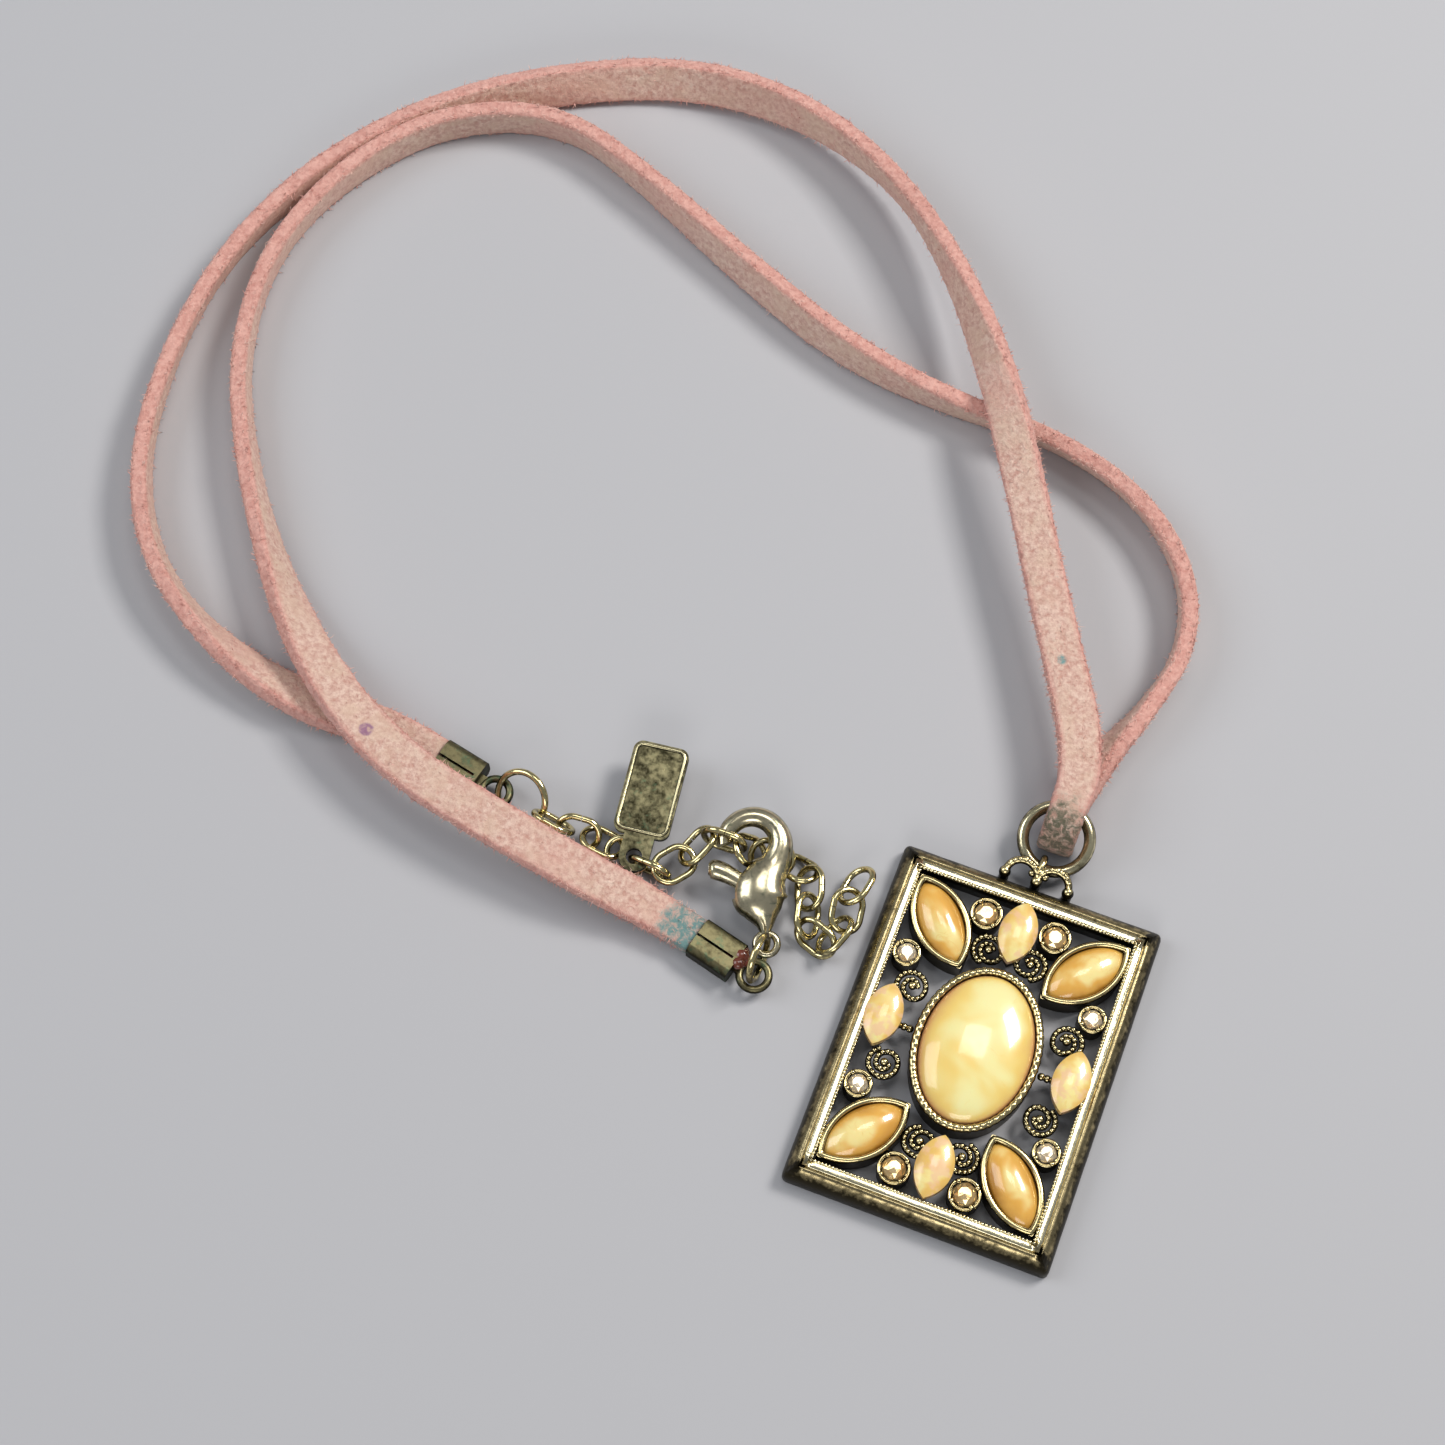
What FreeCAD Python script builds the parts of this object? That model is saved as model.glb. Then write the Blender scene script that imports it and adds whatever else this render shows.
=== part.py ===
import FreeCAD, Part

import math
import os

import Sketcher

# Pendant necklace: a flat suede lace threaded through a bail ring, a jewelled rectangular pendant,
# and a fastened lobster clasp with an extender chain. Millimetres. The origin is the middle of the
# pendant's back plane, which is the table: +Y runs from the pendant's foot to its bail, +Z is up.

Vector = FreeCAD.Vector
Rotation = FreeCAD.Rotation
Placement = FreeCAD.Placement
X_AXIS = Vector(1, 0, 0)
Y_AXIS = Vector(0, 1, 0)
Z_AXIS = Vector(0, 0, 1)

doc = FreeCAD.newDocument("pendant_necklace")

# ---------------------------------------------------------------- driving dimensions
sheet = doc.addObject("Spreadsheet::Sheet", "dims")
DIMENSIONS = {
    # rectangular frame
    "frame_width": 24.6, "frame_height": 33.0, "frame_depth": 2.6,
    "rail_width": 2.1, "bevel_width": 1.4, "bevel_drop": 1.3,
    # oval centre stone and its cup
    "oval_wide": 10.0, "oval_long": 14.0, "oval_wall": 0.65, "oval_fit": 0.04,
    "oval_cup_depth": 2.9, "oval_floor": 0.9, "oval_girdle": 1.7, "oval_dome": 1.9,
    # corner marquise stones and cups
    "corner_long": 8.0, "corner_wide": 4.0, "corner_wall": 0.6, "corner_fit": 0.03,
    "corner_cup_depth": 2.4, "corner_floor": 0.7, "corner_dome": 2.5,
    # side navettes on plain seats
    "navette_long": 5.9, "navette_wide": 3.4, "navette_dome": 1.35,
    "seat_long": 4.7, "seat_wide": 2.3, "seat_depth": 2.7,
    # round rhinestones
    "large_stone": 2.4, "small_stone": 2.0, "stone_wall": 0.28, "stone_cup_depth": 2.2,
    "stone_floor": 1.1, "stone_fit": 0.02, "stone_crown": 0.55, "stone_girdle": 0.9,
    # beaded filigree wire
    "scroll_wire": 0.62, "scroll_height": 1.7, "scroll_outer": 1.05, "scroll_inner": 0.55,
    # crown above the frame and the bail ring
    "crown_wire": 0.7, "crown_arch": 1.45, "eye_radius": 1.05, "eye_wire": 0.68,
    "ring_radius": 3.05, "ring_wire": 1.1,
    # suede lace
    "lace_width": 4.0, "lace_thickness": 1.6, "fold_radius": 2.15,
    # fold-over cord ends
    "crimp_long": 4.3, "crimp_wide": 3.7, "crimp_tall": 2.5, "crimp_wall": 0.42,
    "crimp_eye": 1.33, "crimp_eye_wire": 0.72, "crimp_reach": 6.2,
    # chain
    "link_long": 4.5, "link_wide": 3.4, "link_wire": 0.6,
    "jump_a_radius": 2.5, "jump_b_radius": 2.1, "jump_wire": 0.62, "ring_gap": 2.0,
    # blank maker's tag
    "tag_long": 8.9, "tag_wide": 5.2, "tag_thick": 0.6, "tag_corner": 0.9,
    "neck_long": 2.0, "neck_wide": 2.8, "tag_hole": 1.5,
    # lobster clasp
    "hook_radius": 2.55, "hook_wire": 1.5, "bulb_wide": 4.5,
    "bulb_thick": 3.3, "clasp_eye": 0.98, "clasp_eye_wire": 0.62,
    "lever_thick": 1.4, "lever_slot": 1.6, "pin_diameter": 0.8, "pin_clearance": 0.04,
}
for row, (alias, value) in enumerate(DIMENSIONS.items(), start=1):
    sheet.set(f"A{row}", str(value))
    sheet.setAlias(f"A{row}", alias)
doc.recompute()

NODES = []


def dim(alias):
    """A driving dimension, as the sheet holds it."""
    return float(sheet.get(alias))


def bind(obj, **expressions):
    """Binds properties of an object to expressions on the sheet."""
    for prop, expression in expressions.items():
        obj.setExpression(prop, expression)
    return obj


def node(obj, name, placement=None):
    """Names a finished sub-part and puts it in its place."""
    obj.Label = name
    if placement is not None:
        obj.Placement = placement
    NODES.append(obj)
    return obj


def at(x, y, z, axis=Z_AXIS, angle=0.0):
    return Placement(Vector(x, y, z), Rotation(axis, angle))


def primitive(kind, name, placement=None, **expressions):
    """A Part primitive whose sizes are expressions."""
    obj = doc.addObject("Part::" + kind, name)
    bind(obj, **expressions)
    if placement is not None:
        obj.Placement = placement
    return obj


def fuse(name, *shapes):
    obj = doc.addObject("Part::MultiFuse", name)
    obj.Shapes = list(shapes)
    return obj


def fuse_in_turn(name, shapes):
    """Fuses touching round pieces one at a time, which keeps each joint clean."""
    whole = shapes[0]
    for index, shape in enumerate(shapes[1:], start=1):
        step = doc.addObject("Part::Fuse", f"{name}_{index}")
        step.Base = whole
        step.Tool = shape
        whole = step
    return whole


def cut(name, base, tool):
    obj = doc.addObject("Part::Cut", name)
    obj.Base = base
    obj.Tool = tool
    return obj


def common(name, *shapes):
    obj = doc.addObject("Part::MultiCommon", name)
    obj.Shapes = list(shapes)
    return obj


# ---------------------------------------------------------------- pendant frame
def origin_plane(body, role):
    return next(feature for feature in body.Origin.OriginFeatures if feature.Role == role)


def sketch_on(body, name, role="XY_Plane"):
    sketch = body.newObject("Sketcher::SketchObject", name)
    sketch.AttachmentSupport = [(origin_plane(body, role), "")]
    sketch.MapMode = "FlatFace"
    return sketch


def centred_rectangle(sketch, wide, tall):
    """Four lines about the sketch's origin, with their width and height bound to the sheet."""
    corners = [(-1, -1), (1, -1), (1, 1), (-1, 1)]
    for index in range(4):
        first = corners[index]
        second = corners[(index + 1) % 4]
        start = Vector(first[0], first[1], 0)
        sketch.addGeometry(Part.LineSegment(start, Vector(second[0], second[1], 0)), False)
    for index in range(4):
        sketch.addConstraint(Sketcher.Constraint("Coincident", index, 2, (index + 1) % 4, 1))
    for line in (0, 2):
        sketch.addConstraint(Sketcher.Constraint("Horizontal", line))
    for line in (1, 3):
        sketch.addConstraint(Sketcher.Constraint("Vertical", line))
    sketch.addConstraint(Sketcher.Constraint("Symmetric", 0, 1, 1, 2, -1, 1))
    across = sketch.addConstraint(Sketcher.Constraint("DistanceX", 0, 1, 0, 2, 2.0))
    up = sketch.addConstraint(Sketcher.Constraint("DistanceY", 1, 1, 1, 2, 2.0))
    sketch.setExpression(f"Constraints[{across}]", wide)
    sketch.setExpression(f"Constraints[{up}]", tall)


def pendant_frame():
    body = doc.addObject("PartDesign::Body", "frame_body")
    outline = sketch_on(body, "frame_outline")
    centred_rectangle(outline, "dims.frame_width", "dims.frame_height")
    pad = body.newObject("PartDesign::Pad", "frame_pad")
    pad.Profile = outline
    bind(pad, Length="dims.frame_depth")
    doc.recompute()
    top_edges = []
    for number, edge in enumerate(pad.Shape.Edges, start=1):
        if edge.BoundBox.ZMin > dim("frame_depth") - 0.01:
            top_edges.append(f"Edge{number}")
    bevel = body.newObject("PartDesign::Chamfer", "frame_bevel")
    bevel.Base = (pad, top_edges)
    bevel.ChamferType = "Two distances"
    bind(bevel, Size="dims.bevel_drop", Size2="dims.bevel_width")
    doc.recompute()
    if bevel.Shape.BoundBox.XLength < dim("frame_width") - 0.01:
        raise RuntimeError("the bevel changed the frame's width")
    opening = sketch_on(body, "frame_opening")
    centred_rectangle(
        opening,
        "dims.frame_width - 2 * dims.rail_width",
        "dims.frame_height - 2 * dims.rail_width",
    )
    pocket = body.newObject("PartDesign::Pocket", "frame_pocket")
    pocket.Profile = opening
    pocket.Type = "ThroughAll"
    pocket.Reversed = True
    doc.recompute()
    if pocket.Shape.Volume > 0.5 * bevel.Shape.Volume:
        raise RuntimeError("the frame's opening was not cut")
    return node(body, "pendant_frame", at(0, 0, 0))


# ---------------------------------------------------------------- oval centre stone
def ellipse_prism(name, long, wide, height, level):
    """An upright elliptical prism: a scaled outline extruded from a level."""
    outline = primitive("Ellipse", name + "_outline", MajorRadius=long, MinorRadius=wide)
    outline.Placement = Placement(Vector(0, 0, 0), Rotation(Z_AXIS, 90))
    outline.setExpression(".Placement.Base.z", level)
    prism = doc.addObject("Part::Extrusion", name)
    prism.Base = outline
    prism.DirMode = "Custom"
    prism.Dir = Z_AXIS
    prism.Solid = True
    bind(prism, LengthFwd=height)
    return prism


def oval_setting():
    cup = ellipse_prism(
        "oval_cup", "dims.oval_long / 2 + dims.oval_wall", "dims.oval_wide / 2 + dims.oval_wall",
        "dims.oval_cup_depth", "0")
    hollow = ellipse_prism(
        "oval_hollow", "dims.oval_long / 2 + dims.oval_fit", "dims.oval_wide / 2 + dims.oval_fit",
        "dims.oval_cup_depth", "dims.oval_floor")
    node(cut("oval_bezel_cut", cup, hollow), "oval_bezel", at(0, 0, 0))
    girdle = ellipse_prism(
        "oval_girdle", "dims.oval_long / 2", "dims.oval_wide / 2",
        "dims.oval_girdle", "dims.oval_floor")
    dome = primitive(
        "Ellipsoid", "oval_dome", Radius1="dims.oval_dome", Radius2="dims.oval_wide / 2",
        Radius3="dims.oval_long / 2", Angle1="0")
    dome.setExpression(".Placement.Base.z", "dims.oval_floor + dims.oval_girdle")
    node(fuse("oval_stone", girdle, dome), "oval_cabochon", at(0, 0, 0))


# ---------------------------------------------------------------- pointed (marquise) stones
def marquise_prism(name, long, wide, height, level):
    """Two equal cylinders meet in a pointed oval whose long axis is Y."""
    sides = []
    radius = f"(({long})^2 + ({wide})^2) / (4 * ({wide}))"
    for label, sign in (("right", ""), ("left", "-")):
        side = primitive("Cylinder", f"{name}_{label}", Radius=radius, Height=height)
        side.setExpression(".Placement.Base.x", f"{sign}({radius} - ({wide}) / 2)")
        side.setExpression(".Placement.Base.z", level)
        sides.append(side)
    return common(name, *sides)


def marquise_stone(name, long, wide, dome, level):
    """A pointed stone: its upright outline cut to a low dome."""
    outline = marquise_prism(name + "_outline", long, wide, dome, level)
    cap = primitive(
        "Ellipsoid", name + "_cap", Radius1=dome, Radius2=f"({wide}) * 0.62",
        Radius3=f"({long}) * 0.60", Angle1="0")
    cap.setExpression(".Placement.Base.z", level)
    return common(name + "_stone", outline, cap)


CORNER_PLACE = (6.85, 10.25)
CORNER_TURN = 40.0


def corner_settings():
    """Four pointed stones reach from the oval towards the frame's corners."""
    corners = {
        "top_right": (1, 1), "top_left": (-1, 1), "bottom_left": (-1, -1), "bottom_right": (1, -1)}
    for label, (across, up) in corners.items():
        place = at(across * CORNER_PLACE[0], up * CORNER_PLACE[1], 0, Z_AXIS,
                   -across * up * CORNER_TURN)
        cup = marquise_prism(
            f"{label}_cup", "dims.corner_long + 2.4 * dims.corner_wall",
            "dims.corner_wide + 2 * dims.corner_wall", "dims.corner_cup_depth", "0")
        hollow = marquise_prism(
            f"{label}_hollow", "dims.corner_long + 2 * dims.corner_fit",
            "dims.corner_wide + 2 * dims.corner_fit", "dims.corner_cup_depth", "dims.corner_floor")
        node(cut(f"{label}_bezel_cut", cup, hollow), f"corner_bezel_{label}", place)
        stone = marquise_stone(
            f"{label}_corner", "dims.corner_long", "dims.corner_wide", "dims.corner_dome",
            "dims.corner_floor")
        node(stone, f"corner_cabochon_{label}", place)


NAVETTE_PLACES = {"top": (0.0, 11.35), "bottom": (0.0, -11.35), "right": (8.75, 0.0), "left": (-8.75, 0.0)}


def navettes():
    """Four small pointed stones stand on plain seats, a little above the frame's ledge."""
    seats = []
    for label, (x, y) in NAVETTE_PLACES.items():
        seat = marquise_prism(
            f"{label}_seat", "dims.seat_long", "dims.seat_wide", "dims.seat_depth", "0")
        seat.Placement = at(x, y, 0)
        seats.append(seat)
        stone = marquise_stone(
            f"{label}_navette", "dims.navette_long", "dims.navette_wide", "dims.navette_dome",
            "dims.seat_depth")
        node(stone, f"navette_{label}", at(x, y, 0))
    group = doc.addObject("Part::Compound", "seat_group")
    group.Links = seats
    node(group, "navette_seats", at(0, 0, 0))


# ---------------------------------------------------------------- round rhinestones
LARGE_STONES = (3.25, 12.45)
SMALL_STONES = (8.75, 6.45)


def rhinestone_group(size, place):
    """Four round stones and their cups, one in each quarter of the frame."""
    cups = []
    stones = []
    diameter = f"dims.{size}_stone"
    for index, (across, up) in enumerate([(1, 1), (-1, 1), (-1, -1), (1, -1)]):
        spot = at(across * place[0], up * place[1], 0)
        name = f"{size}_{index}"
        cup = primitive("Cylinder", name + "_cup", spot,
                        Radius=f"{diameter} / 2 + dims.stone_wall", Height="dims.stone_cup_depth")
        hollow = primitive("Cylinder", name + "_hollow", spot,
                           Radius=f"{diameter} / 2 + dims.stone_fit", Height="dims.stone_cup_depth")
        hollow.setExpression(".Placement.Base.z", "dims.stone_floor")
        cups.append(cut(name + "_setting", cup, hollow))
        girdle = primitive("Cylinder", name + "_girdle", spot,
                           Radius=f"{diameter} / 2", Height="dims.stone_girdle")
        girdle.setExpression(".Placement.Base.z", "dims.stone_floor")
        crown = primitive("Cone", name + "_crown", spot, Radius1=f"{diameter} / 2",
                          Radius2=f"{diameter} * 0.28", Height="dims.stone_crown")
        crown.setExpression(".Placement.Base.z", "dims.stone_floor + dims.stone_girdle")
        stones.append(fuse(name + "_gem", girdle, crown))
    cup_group = doc.addObject("Part::Compound", size + "_cup_group")
    cup_group.Links = cups
    stone_group = doc.addObject("Part::Compound", size + "_stone_group")
    stone_group.Links = stones
    node(cup_group, f"{size}_rhinestone_cups", at(0, 0, 0))
    node(stone_group, f"{size}_rhinestones", at(0, 0, 0))


# ---------------------------------------------------------------- filigree scrolls
def scroll(name, placement):
    """A spiral of three half turns of round wire, ending in a bead at its middle."""
    pieces = []
    radii = ["dims.scroll_outer", "(dims.scroll_outer + dims.scroll_inner) / 2", "dims.scroll_inner"]
    centre = "0"
    for index, radius in enumerate(radii):
        arc = primitive("Torus", f"{name}_turn_{index}", Radius1=radius,
                        Radius2="dims.scroll_wire / 2", Angle3="180")
        arc.Placement = at(0, 0, 0, Z_AXIS, 180.0 * (index % 2))
        arc.setExpression(".Placement.Base.x", centre)
        arc.setExpression(".Placement.Base.z", "dims.scroll_height")
        pieces.append(arc)
        if index + 1 < len(radii):
            sign = "-" if index % 2 == 0 else "+"
            centre = f"{centre} {sign} ({radius} - ({radii[index + 1]}))"
    bead = primitive("Sphere", name + "_bead", Radius="dims.scroll_wire * 0.62")
    bead.setExpression(".Placement.Base.z", "dims.scroll_height")
    bead.setExpression(".Placement.Base.x", "-dims.scroll_inner * 0.35")
    pieces.append(bead)
    node(fuse(name + "_wire", *pieces), name, placement)


# One quarter's scrolls: beside the top navette, and beside the side navette.
END_SCROLL = (2.05, 9.35)
SIDE_SCROLL = (7.35, 3.75)


def scrolls():
    quarters = {"top_right": (1, 1), "top_left": (-1, 1), "bottom_left": (-1, -1), "bottom_right": (1, -1)}
    for label, (across, up) in quarters.items():
        turn = Rotation(Z_AXIS, 0.0 if across > 0 else 180.0)
        flip = Rotation(X_AXIS, 0.0 if across * up > 0 else 180.0)
        level = 0.0 if across * up > 0 else 2.0 * dim("scroll_height")
        for kind, (x, y) in (("end", END_SCROLL), ("side", SIDE_SCROLL)):
            base = Vector(across * x, up * y, level)
            scroll(f"{kind}_scroll_{label}", Placement(base, turn.multiply(flip)))


def bead_links():
    """Two short bars of three beads join the oval to the side navettes' seats."""
    beads = []
    for across in (-1, 1):
        row = []
        for step in range(3):
            bead = primitive("Sphere", f"link_bead_{across + 1}_{step}", Radius="0.36")
            bead.Placement = at(across * (6.15 + 0.55 * step), 0, dim("scroll_height"))
            row.append(bead)
        beads.append(fuse(f"bead_bar_{across + 1}", *row))
    group = doc.addObject("Part::Compound", "bead_bar_group")
    group.Links = beads
    node(group, "bead_links", at(0, 0, 0))


# ---------------------------------------------------------------- crown and bail ring
EYE_CENTRE = Vector(0.0, 18.4, 1.6)
RING_FAR = Vector(0.4, 24.5, 3.0)
CROWN_FEET = (-3.0, 0.0, 3.0)
FOOT_Y = 16.98


def bail_crown():
    """Three beaded feet, two sloping arches and the eye that the bail ring runs in."""
    pieces = []
    arch_slope = 38.0
    for index, x in enumerate(CROWN_FEET):
        foot = primitive("Cylinder", f"crown_foot_{index}", at(x, FOOT_Y, 0.1), Radius="0.46", Height="1.75")
        cap = primitive("Sphere", f"crown_cap_{index}", at(x, FOOT_Y, 1.85), Radius="0.55")
        pieces += [foot, cap]
    for index, x in enumerate((-1.5, 1.5)):
        arch = primitive("Torus", f"crown_arch_{index}", Radius1="dims.crown_arch",
                         Radius2="dims.crown_wire / 2", Angle3="180")
        arch.Placement = Placement(Vector(x, FOOT_Y + 0.1, 2.1), Rotation(X_AXIS, arch_slope))
        pieces.append(arch)
    eye = primitive("Torus", "crown_eye", Radius1="dims.eye_radius", Radius2="dims.eye_wire / 2")
    eye.Placement = Placement(EYE_CENTRE, Rotation(Y_AXIS, 90))
    pieces.append(eye)
    node(fuse_in_turn("crown_fusion", pieces), "bail_crown", at(0, 0, 0))


def bail_ring():
    """The ring lies from the crown's eye, low, to the lace's fold, higher."""
    near = Vector(RING_FAR.x, EYE_CENTRE.y, EYE_CENTRE.z)
    middle = (near + RING_FAR) * 0.5
    slope = math.degrees(math.atan2(RING_FAR.z - near.z, RING_FAR.y - near.y))
    ring = primitive("Torus", "bail_ring_torus", Radius1="dims.ring_radius", Radius2="dims.ring_wire / 2")
    node(ring, "bail_ring", Placement(middle, Rotation(X_AXIS, slope)))


# ---------------------------------------------------------------- lace
# The route runs from the left cord end, round the far side, through the bail ring and back to
# the right cord end. Each point is a corner of straight runs, and arcs join the runs.
LACE_LEFT = [
    (-55.5, 9.0, 1.35), (-61.5, 10.2, 1.2), (-69.5, 9.4, 1.3), (-79.5, 11.8, 1.3), (-88.6, 17.2, 1.3),
    (-94.6, 26.5, 1.3), (-96.8, 38.5, 1.3), (-96.4, 50.5, 1.3), (-92.4, 62.0, 1.3), (-84.5, 72.6, 1.3),
    (-73.5, 81.0, 1.3), (-60.5, 86.8, 1.6), (-47.5, 86.6, 2.6), (-36.0, 81.4, 4.0), (-27.2, 73.0, 5.2),
    (-19.6, 63.0, 6.0), (-13.6, 53.0, 5.8), (-8.4, 44.0, 5.0), (-4.0, 36.6, 4.9), (-1.0, 31.4, 5.05),
    (0.5, 27.0, 5.15),
]
LACE_RIGHT = [
    (0.5, 26.8, 0.85), (1.8, 30.6, 0.9), (4.2, 36.4, 1.2), (6.0, 43.6, 1.3), (3.7, 51.4, 1.3),
    (-3.0, 57.6, 1.3), (-12.6, 60.6, 1.3), (-23.5, 60.6, 1.3), (-35.0, 62.4, 1.3), (-47.5, 67.6, 1.2),
    (-59.5, 73.4, 1.3), (-70.5, 77.6, 1.3), (-81.4, 73.8, 1.3), (-88.8, 64.6, 1.3), (-92.4, 52.8, 1.3),
    (-90.4, 40.6, 1.3), (-84.4, 29.8, 1.3), (-76.8, 20.0, 1.8), (-68.0, 11.6, 3.6), (-58.2, 6.2, 4.4),
    (-47.2, 3.9, 4.4), (-38.0, 2.6, 3.4), (-31.6, 2.3, 1.5), (-27.0, 1.3, 1.3),
]
FOLD_X = 0.5
FOLD_Y = 20.95
FOLD_RUN = 3.2


def rounded_path(points, report):
    """Straight runs joined by tangent arcs, each as large as its two runs allow."""
    edges = []
    start = points[0]
    radii = []
    for before, corner, after in zip(points, points[1:], points[2:]):
        incoming = (corner - before).normalize()
        outgoing = (after - corner).normalize()
        turn = incoming.getAngle(outgoing)
        setback = 0.45 * min((corner - before).Length, (after - corner).Length)
        radius = setback / math.tan(turn / 2)
        radii.append(radius)
        first = corner - incoming * setback
        last = corner + outgoing * setback
        inward = (outgoing - incoming).normalize()
        middle = corner + inward * (radius / math.cos(turn / 2) - radius)
        edges.append(Part.LineSegment(start, first).toShape())
        edges.append(Part.Arc(first, middle, last).toShape())
        start = last
    edges.append(Part.LineSegment(start, points[-1]).toShape())
    wire = Part.Wire(edges)
    print(report, "radii", [round(radius, 1) for radius in radii], "length", round(wire.Length, 1))
    return wire


def swept_strip(wire, across):
    """Sweeps the lace's flat section along a path, while across stays in the section's plane."""
    first = wire.OrderedEdges[0]
    centre = wire.OrderedVertexes[0].Point
    heading = first.tangentAt(first.FirstParameter)
    if centre.distanceToPoint(first.valueAt(first.FirstParameter)) > 0.001:
        heading = first.tangentAt(first.LastParameter) * -1.0
    side = heading.cross(across).normalize()
    flat = abs(across.z) > 0.5
    wide = side if flat else Vector(across)
    thin = Vector(across) if flat else side
    wide = wide * (dim("lace_width") / 2)
    thin = thin * (dim("lace_thickness") / 2)
    corners = [centre + wide + thin, centre - wide + thin, centre - wide - thin, centre + wide - thin]
    pipe = Part.BRepOffsetAPI.MakePipeShell(wire)
    pipe.setBiNormalMode(across)
    pipe.add(Part.makePolygon(corners + [corners[0]]), False, False)
    pipe.build()
    pipe.makeSolid()
    strip = pipe.shape()
    section = dim("lace_width") * dim("lace_thickness")
    print("strip volume", round(strip.Volume, 1), "section x length", round(section * wire.Length, 1))
    return strip


def suede_lace():
    """One flat strip: a left strand, the fold round the bail ring, and a right strand."""
    fold_radius = dim("fold_radius")
    low = Vector(FOLD_X, FOLD_Y, RING_FAR.z - fold_radius)
    high = Vector(FOLD_X, FOLD_Y, RING_FAR.z + fold_radius)
    low_out = low + Vector(0, FOLD_RUN, 0)
    high_out = high + Vector(0, FOLD_RUN, 0)
    left_points = [Vector(*point) for point in LACE_LEFT] + [high_out]
    right_points = [low_out] + [Vector(*point) for point in LACE_RIGHT]
    fold = swept_strip(rounded_path([low_out, low, high, high_out], "fold"), X_AXIS)
    left = swept_strip(rounded_path(left_points, "left strand"), Z_AXIS)
    right = swept_strip(rounded_path(right_points, "right strand"), Z_AXIS)
    tails = [lace_tail(*CRIMP_LEFT), lace_tail(CRIMP_RIGHT[0], CRIMP_RIGHT[1])]
    lace = doc.addObject("Part::Feature", "lace_strip")
    lace.Shape = left.fuse([fold, right] + tails)
    node(lace, "suede_lace", at(0, 0, 0))


# ---------------------------------------------------------------- cord ends
CRIMP_LEFT = (Vector(-55.4, 8.98, 1.35), -12.0)
CRIMP_RIGHT = (Vector(-26.9, 1.28, 1.3), -14.0)


def crimp_placement(entry, heading):
    return Placement(entry, Rotation(Z_AXIS, heading))


def cord_end(name, label, entry, heading):
    """A strip folded over the lace from both sides, with an eye at its closed end."""
    outer = primitive("Box", name + "_outer", Length="dims.crimp_long", Width="dims.crimp_wide",
                      Height="dims.crimp_tall")
    bind(outer, **{".Placement.Base.y": "-dims.crimp_wide / 2", ".Placement.Base.z": "-dims.crimp_tall / 2"})
    rounded = doc.addObject("Part::Fillet", name + "_rounded")
    rounded.Base = outer
    doc.recompute()
    long_edges = []
    for number, edge in enumerate(outer.Shape.Edges, start=1):
        if edge.BoundBox.XLength > dim("crimp_long") / 2:
            long_edges.append((number, 0.7, 0.7))
    rounded.Edges = long_edges
    hollow = primitive("Box", name + "_hollow", Length="dims.crimp_long - dims.crimp_wall",
                       Width="dims.crimp_wide - 2 * dims.crimp_wall",
                       Height="dims.crimp_tall - 2 * dims.crimp_wall")
    bind(hollow, **{".Placement.Base.y": "-dims.crimp_wide / 2 + dims.crimp_wall",
                    ".Placement.Base.z": "-dims.crimp_tall / 2 + dims.crimp_wall"})
    hollow.setExpression(".Placement.Base.x", "0")
    seam = primitive("Box", name + "_seam", at(-0.1, -0.12, 0.2), Length="dims.crimp_long - 0.3",
                     Width="0.24", Height="dims.crimp_tall")
    shell = cut(name + "_opened", cut(name + "_shell", rounded, hollow), seam)
    neck = primitive("Box", name + "_neck", Length="1.0", Width="1.5", Height="0.62")
    bind(neck, **{".Placement.Base.x": "dims.crimp_long - 0.15", ".Placement.Base.y": "-0.75",
                  ".Placement.Base.z": "-0.31"})
    eye = primitive("Torus", name + "_eye", Radius1="dims.crimp_eye", Radius2="dims.crimp_eye_wire / 2")
    eye.setExpression(".Placement.Base.x", "dims.crimp_reach")
    node(fuse(name + "_body", shell, neck, eye), label, crimp_placement(entry, heading))


def glue_bead(name, entry, heading):
    """A drop of glue fills the closed end of the cord end, past the lace's cut end."""
    drop = primitive("Box", name, Length="0.7", Width="dims.crimp_wide - 2 * dims.crimp_wall - 0.1",
                     Height="dims.crimp_tall - 2 * dims.crimp_wall - 0.1")
    turned = Rotation(Z_AXIS, heading)
    corner = Vector(dim("crimp_long") - dim("crimp_wall") - 0.75,
                    -dim("crimp_wide") / 2 + dim("crimp_wall") + 0.05,
                    -dim("crimp_tall") / 2 + dim("crimp_wall") + 0.05)
    drop.Placement = Placement(entry + turned.multVec(corner), turned)
    return drop


def lace_tail(entry, heading):
    """The squeezed end of the lace inside its cord end."""
    lead_in = 0.3
    length = dim("crimp_long") - dim("crimp_wall") - 0.8 + lead_in
    wide = dim("crimp_wide") - 2 * dim("crimp_wall") - 0.1
    tall = dim("crimp_tall") - 2 * dim("crimp_wall") - 0.1
    tail = Part.makeBox(length, wide, tall, Vector(-lead_in, -wide / 2, -tall / 2))
    tail.Placement = crimp_placement(entry, heading)
    return tail


# ---------------------------------------------------------------- rings and chain links
def jump_ring(name, radius, placement):
    """A round ring of wire with the narrow gap where it was closed."""
    ring = primitive("Torus", name + "_wire", Radius1=radius, Radius2="dims.jump_wire / 2",
                     Angle3="360 - dims.ring_gap")
    node(ring, name, placement)


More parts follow.
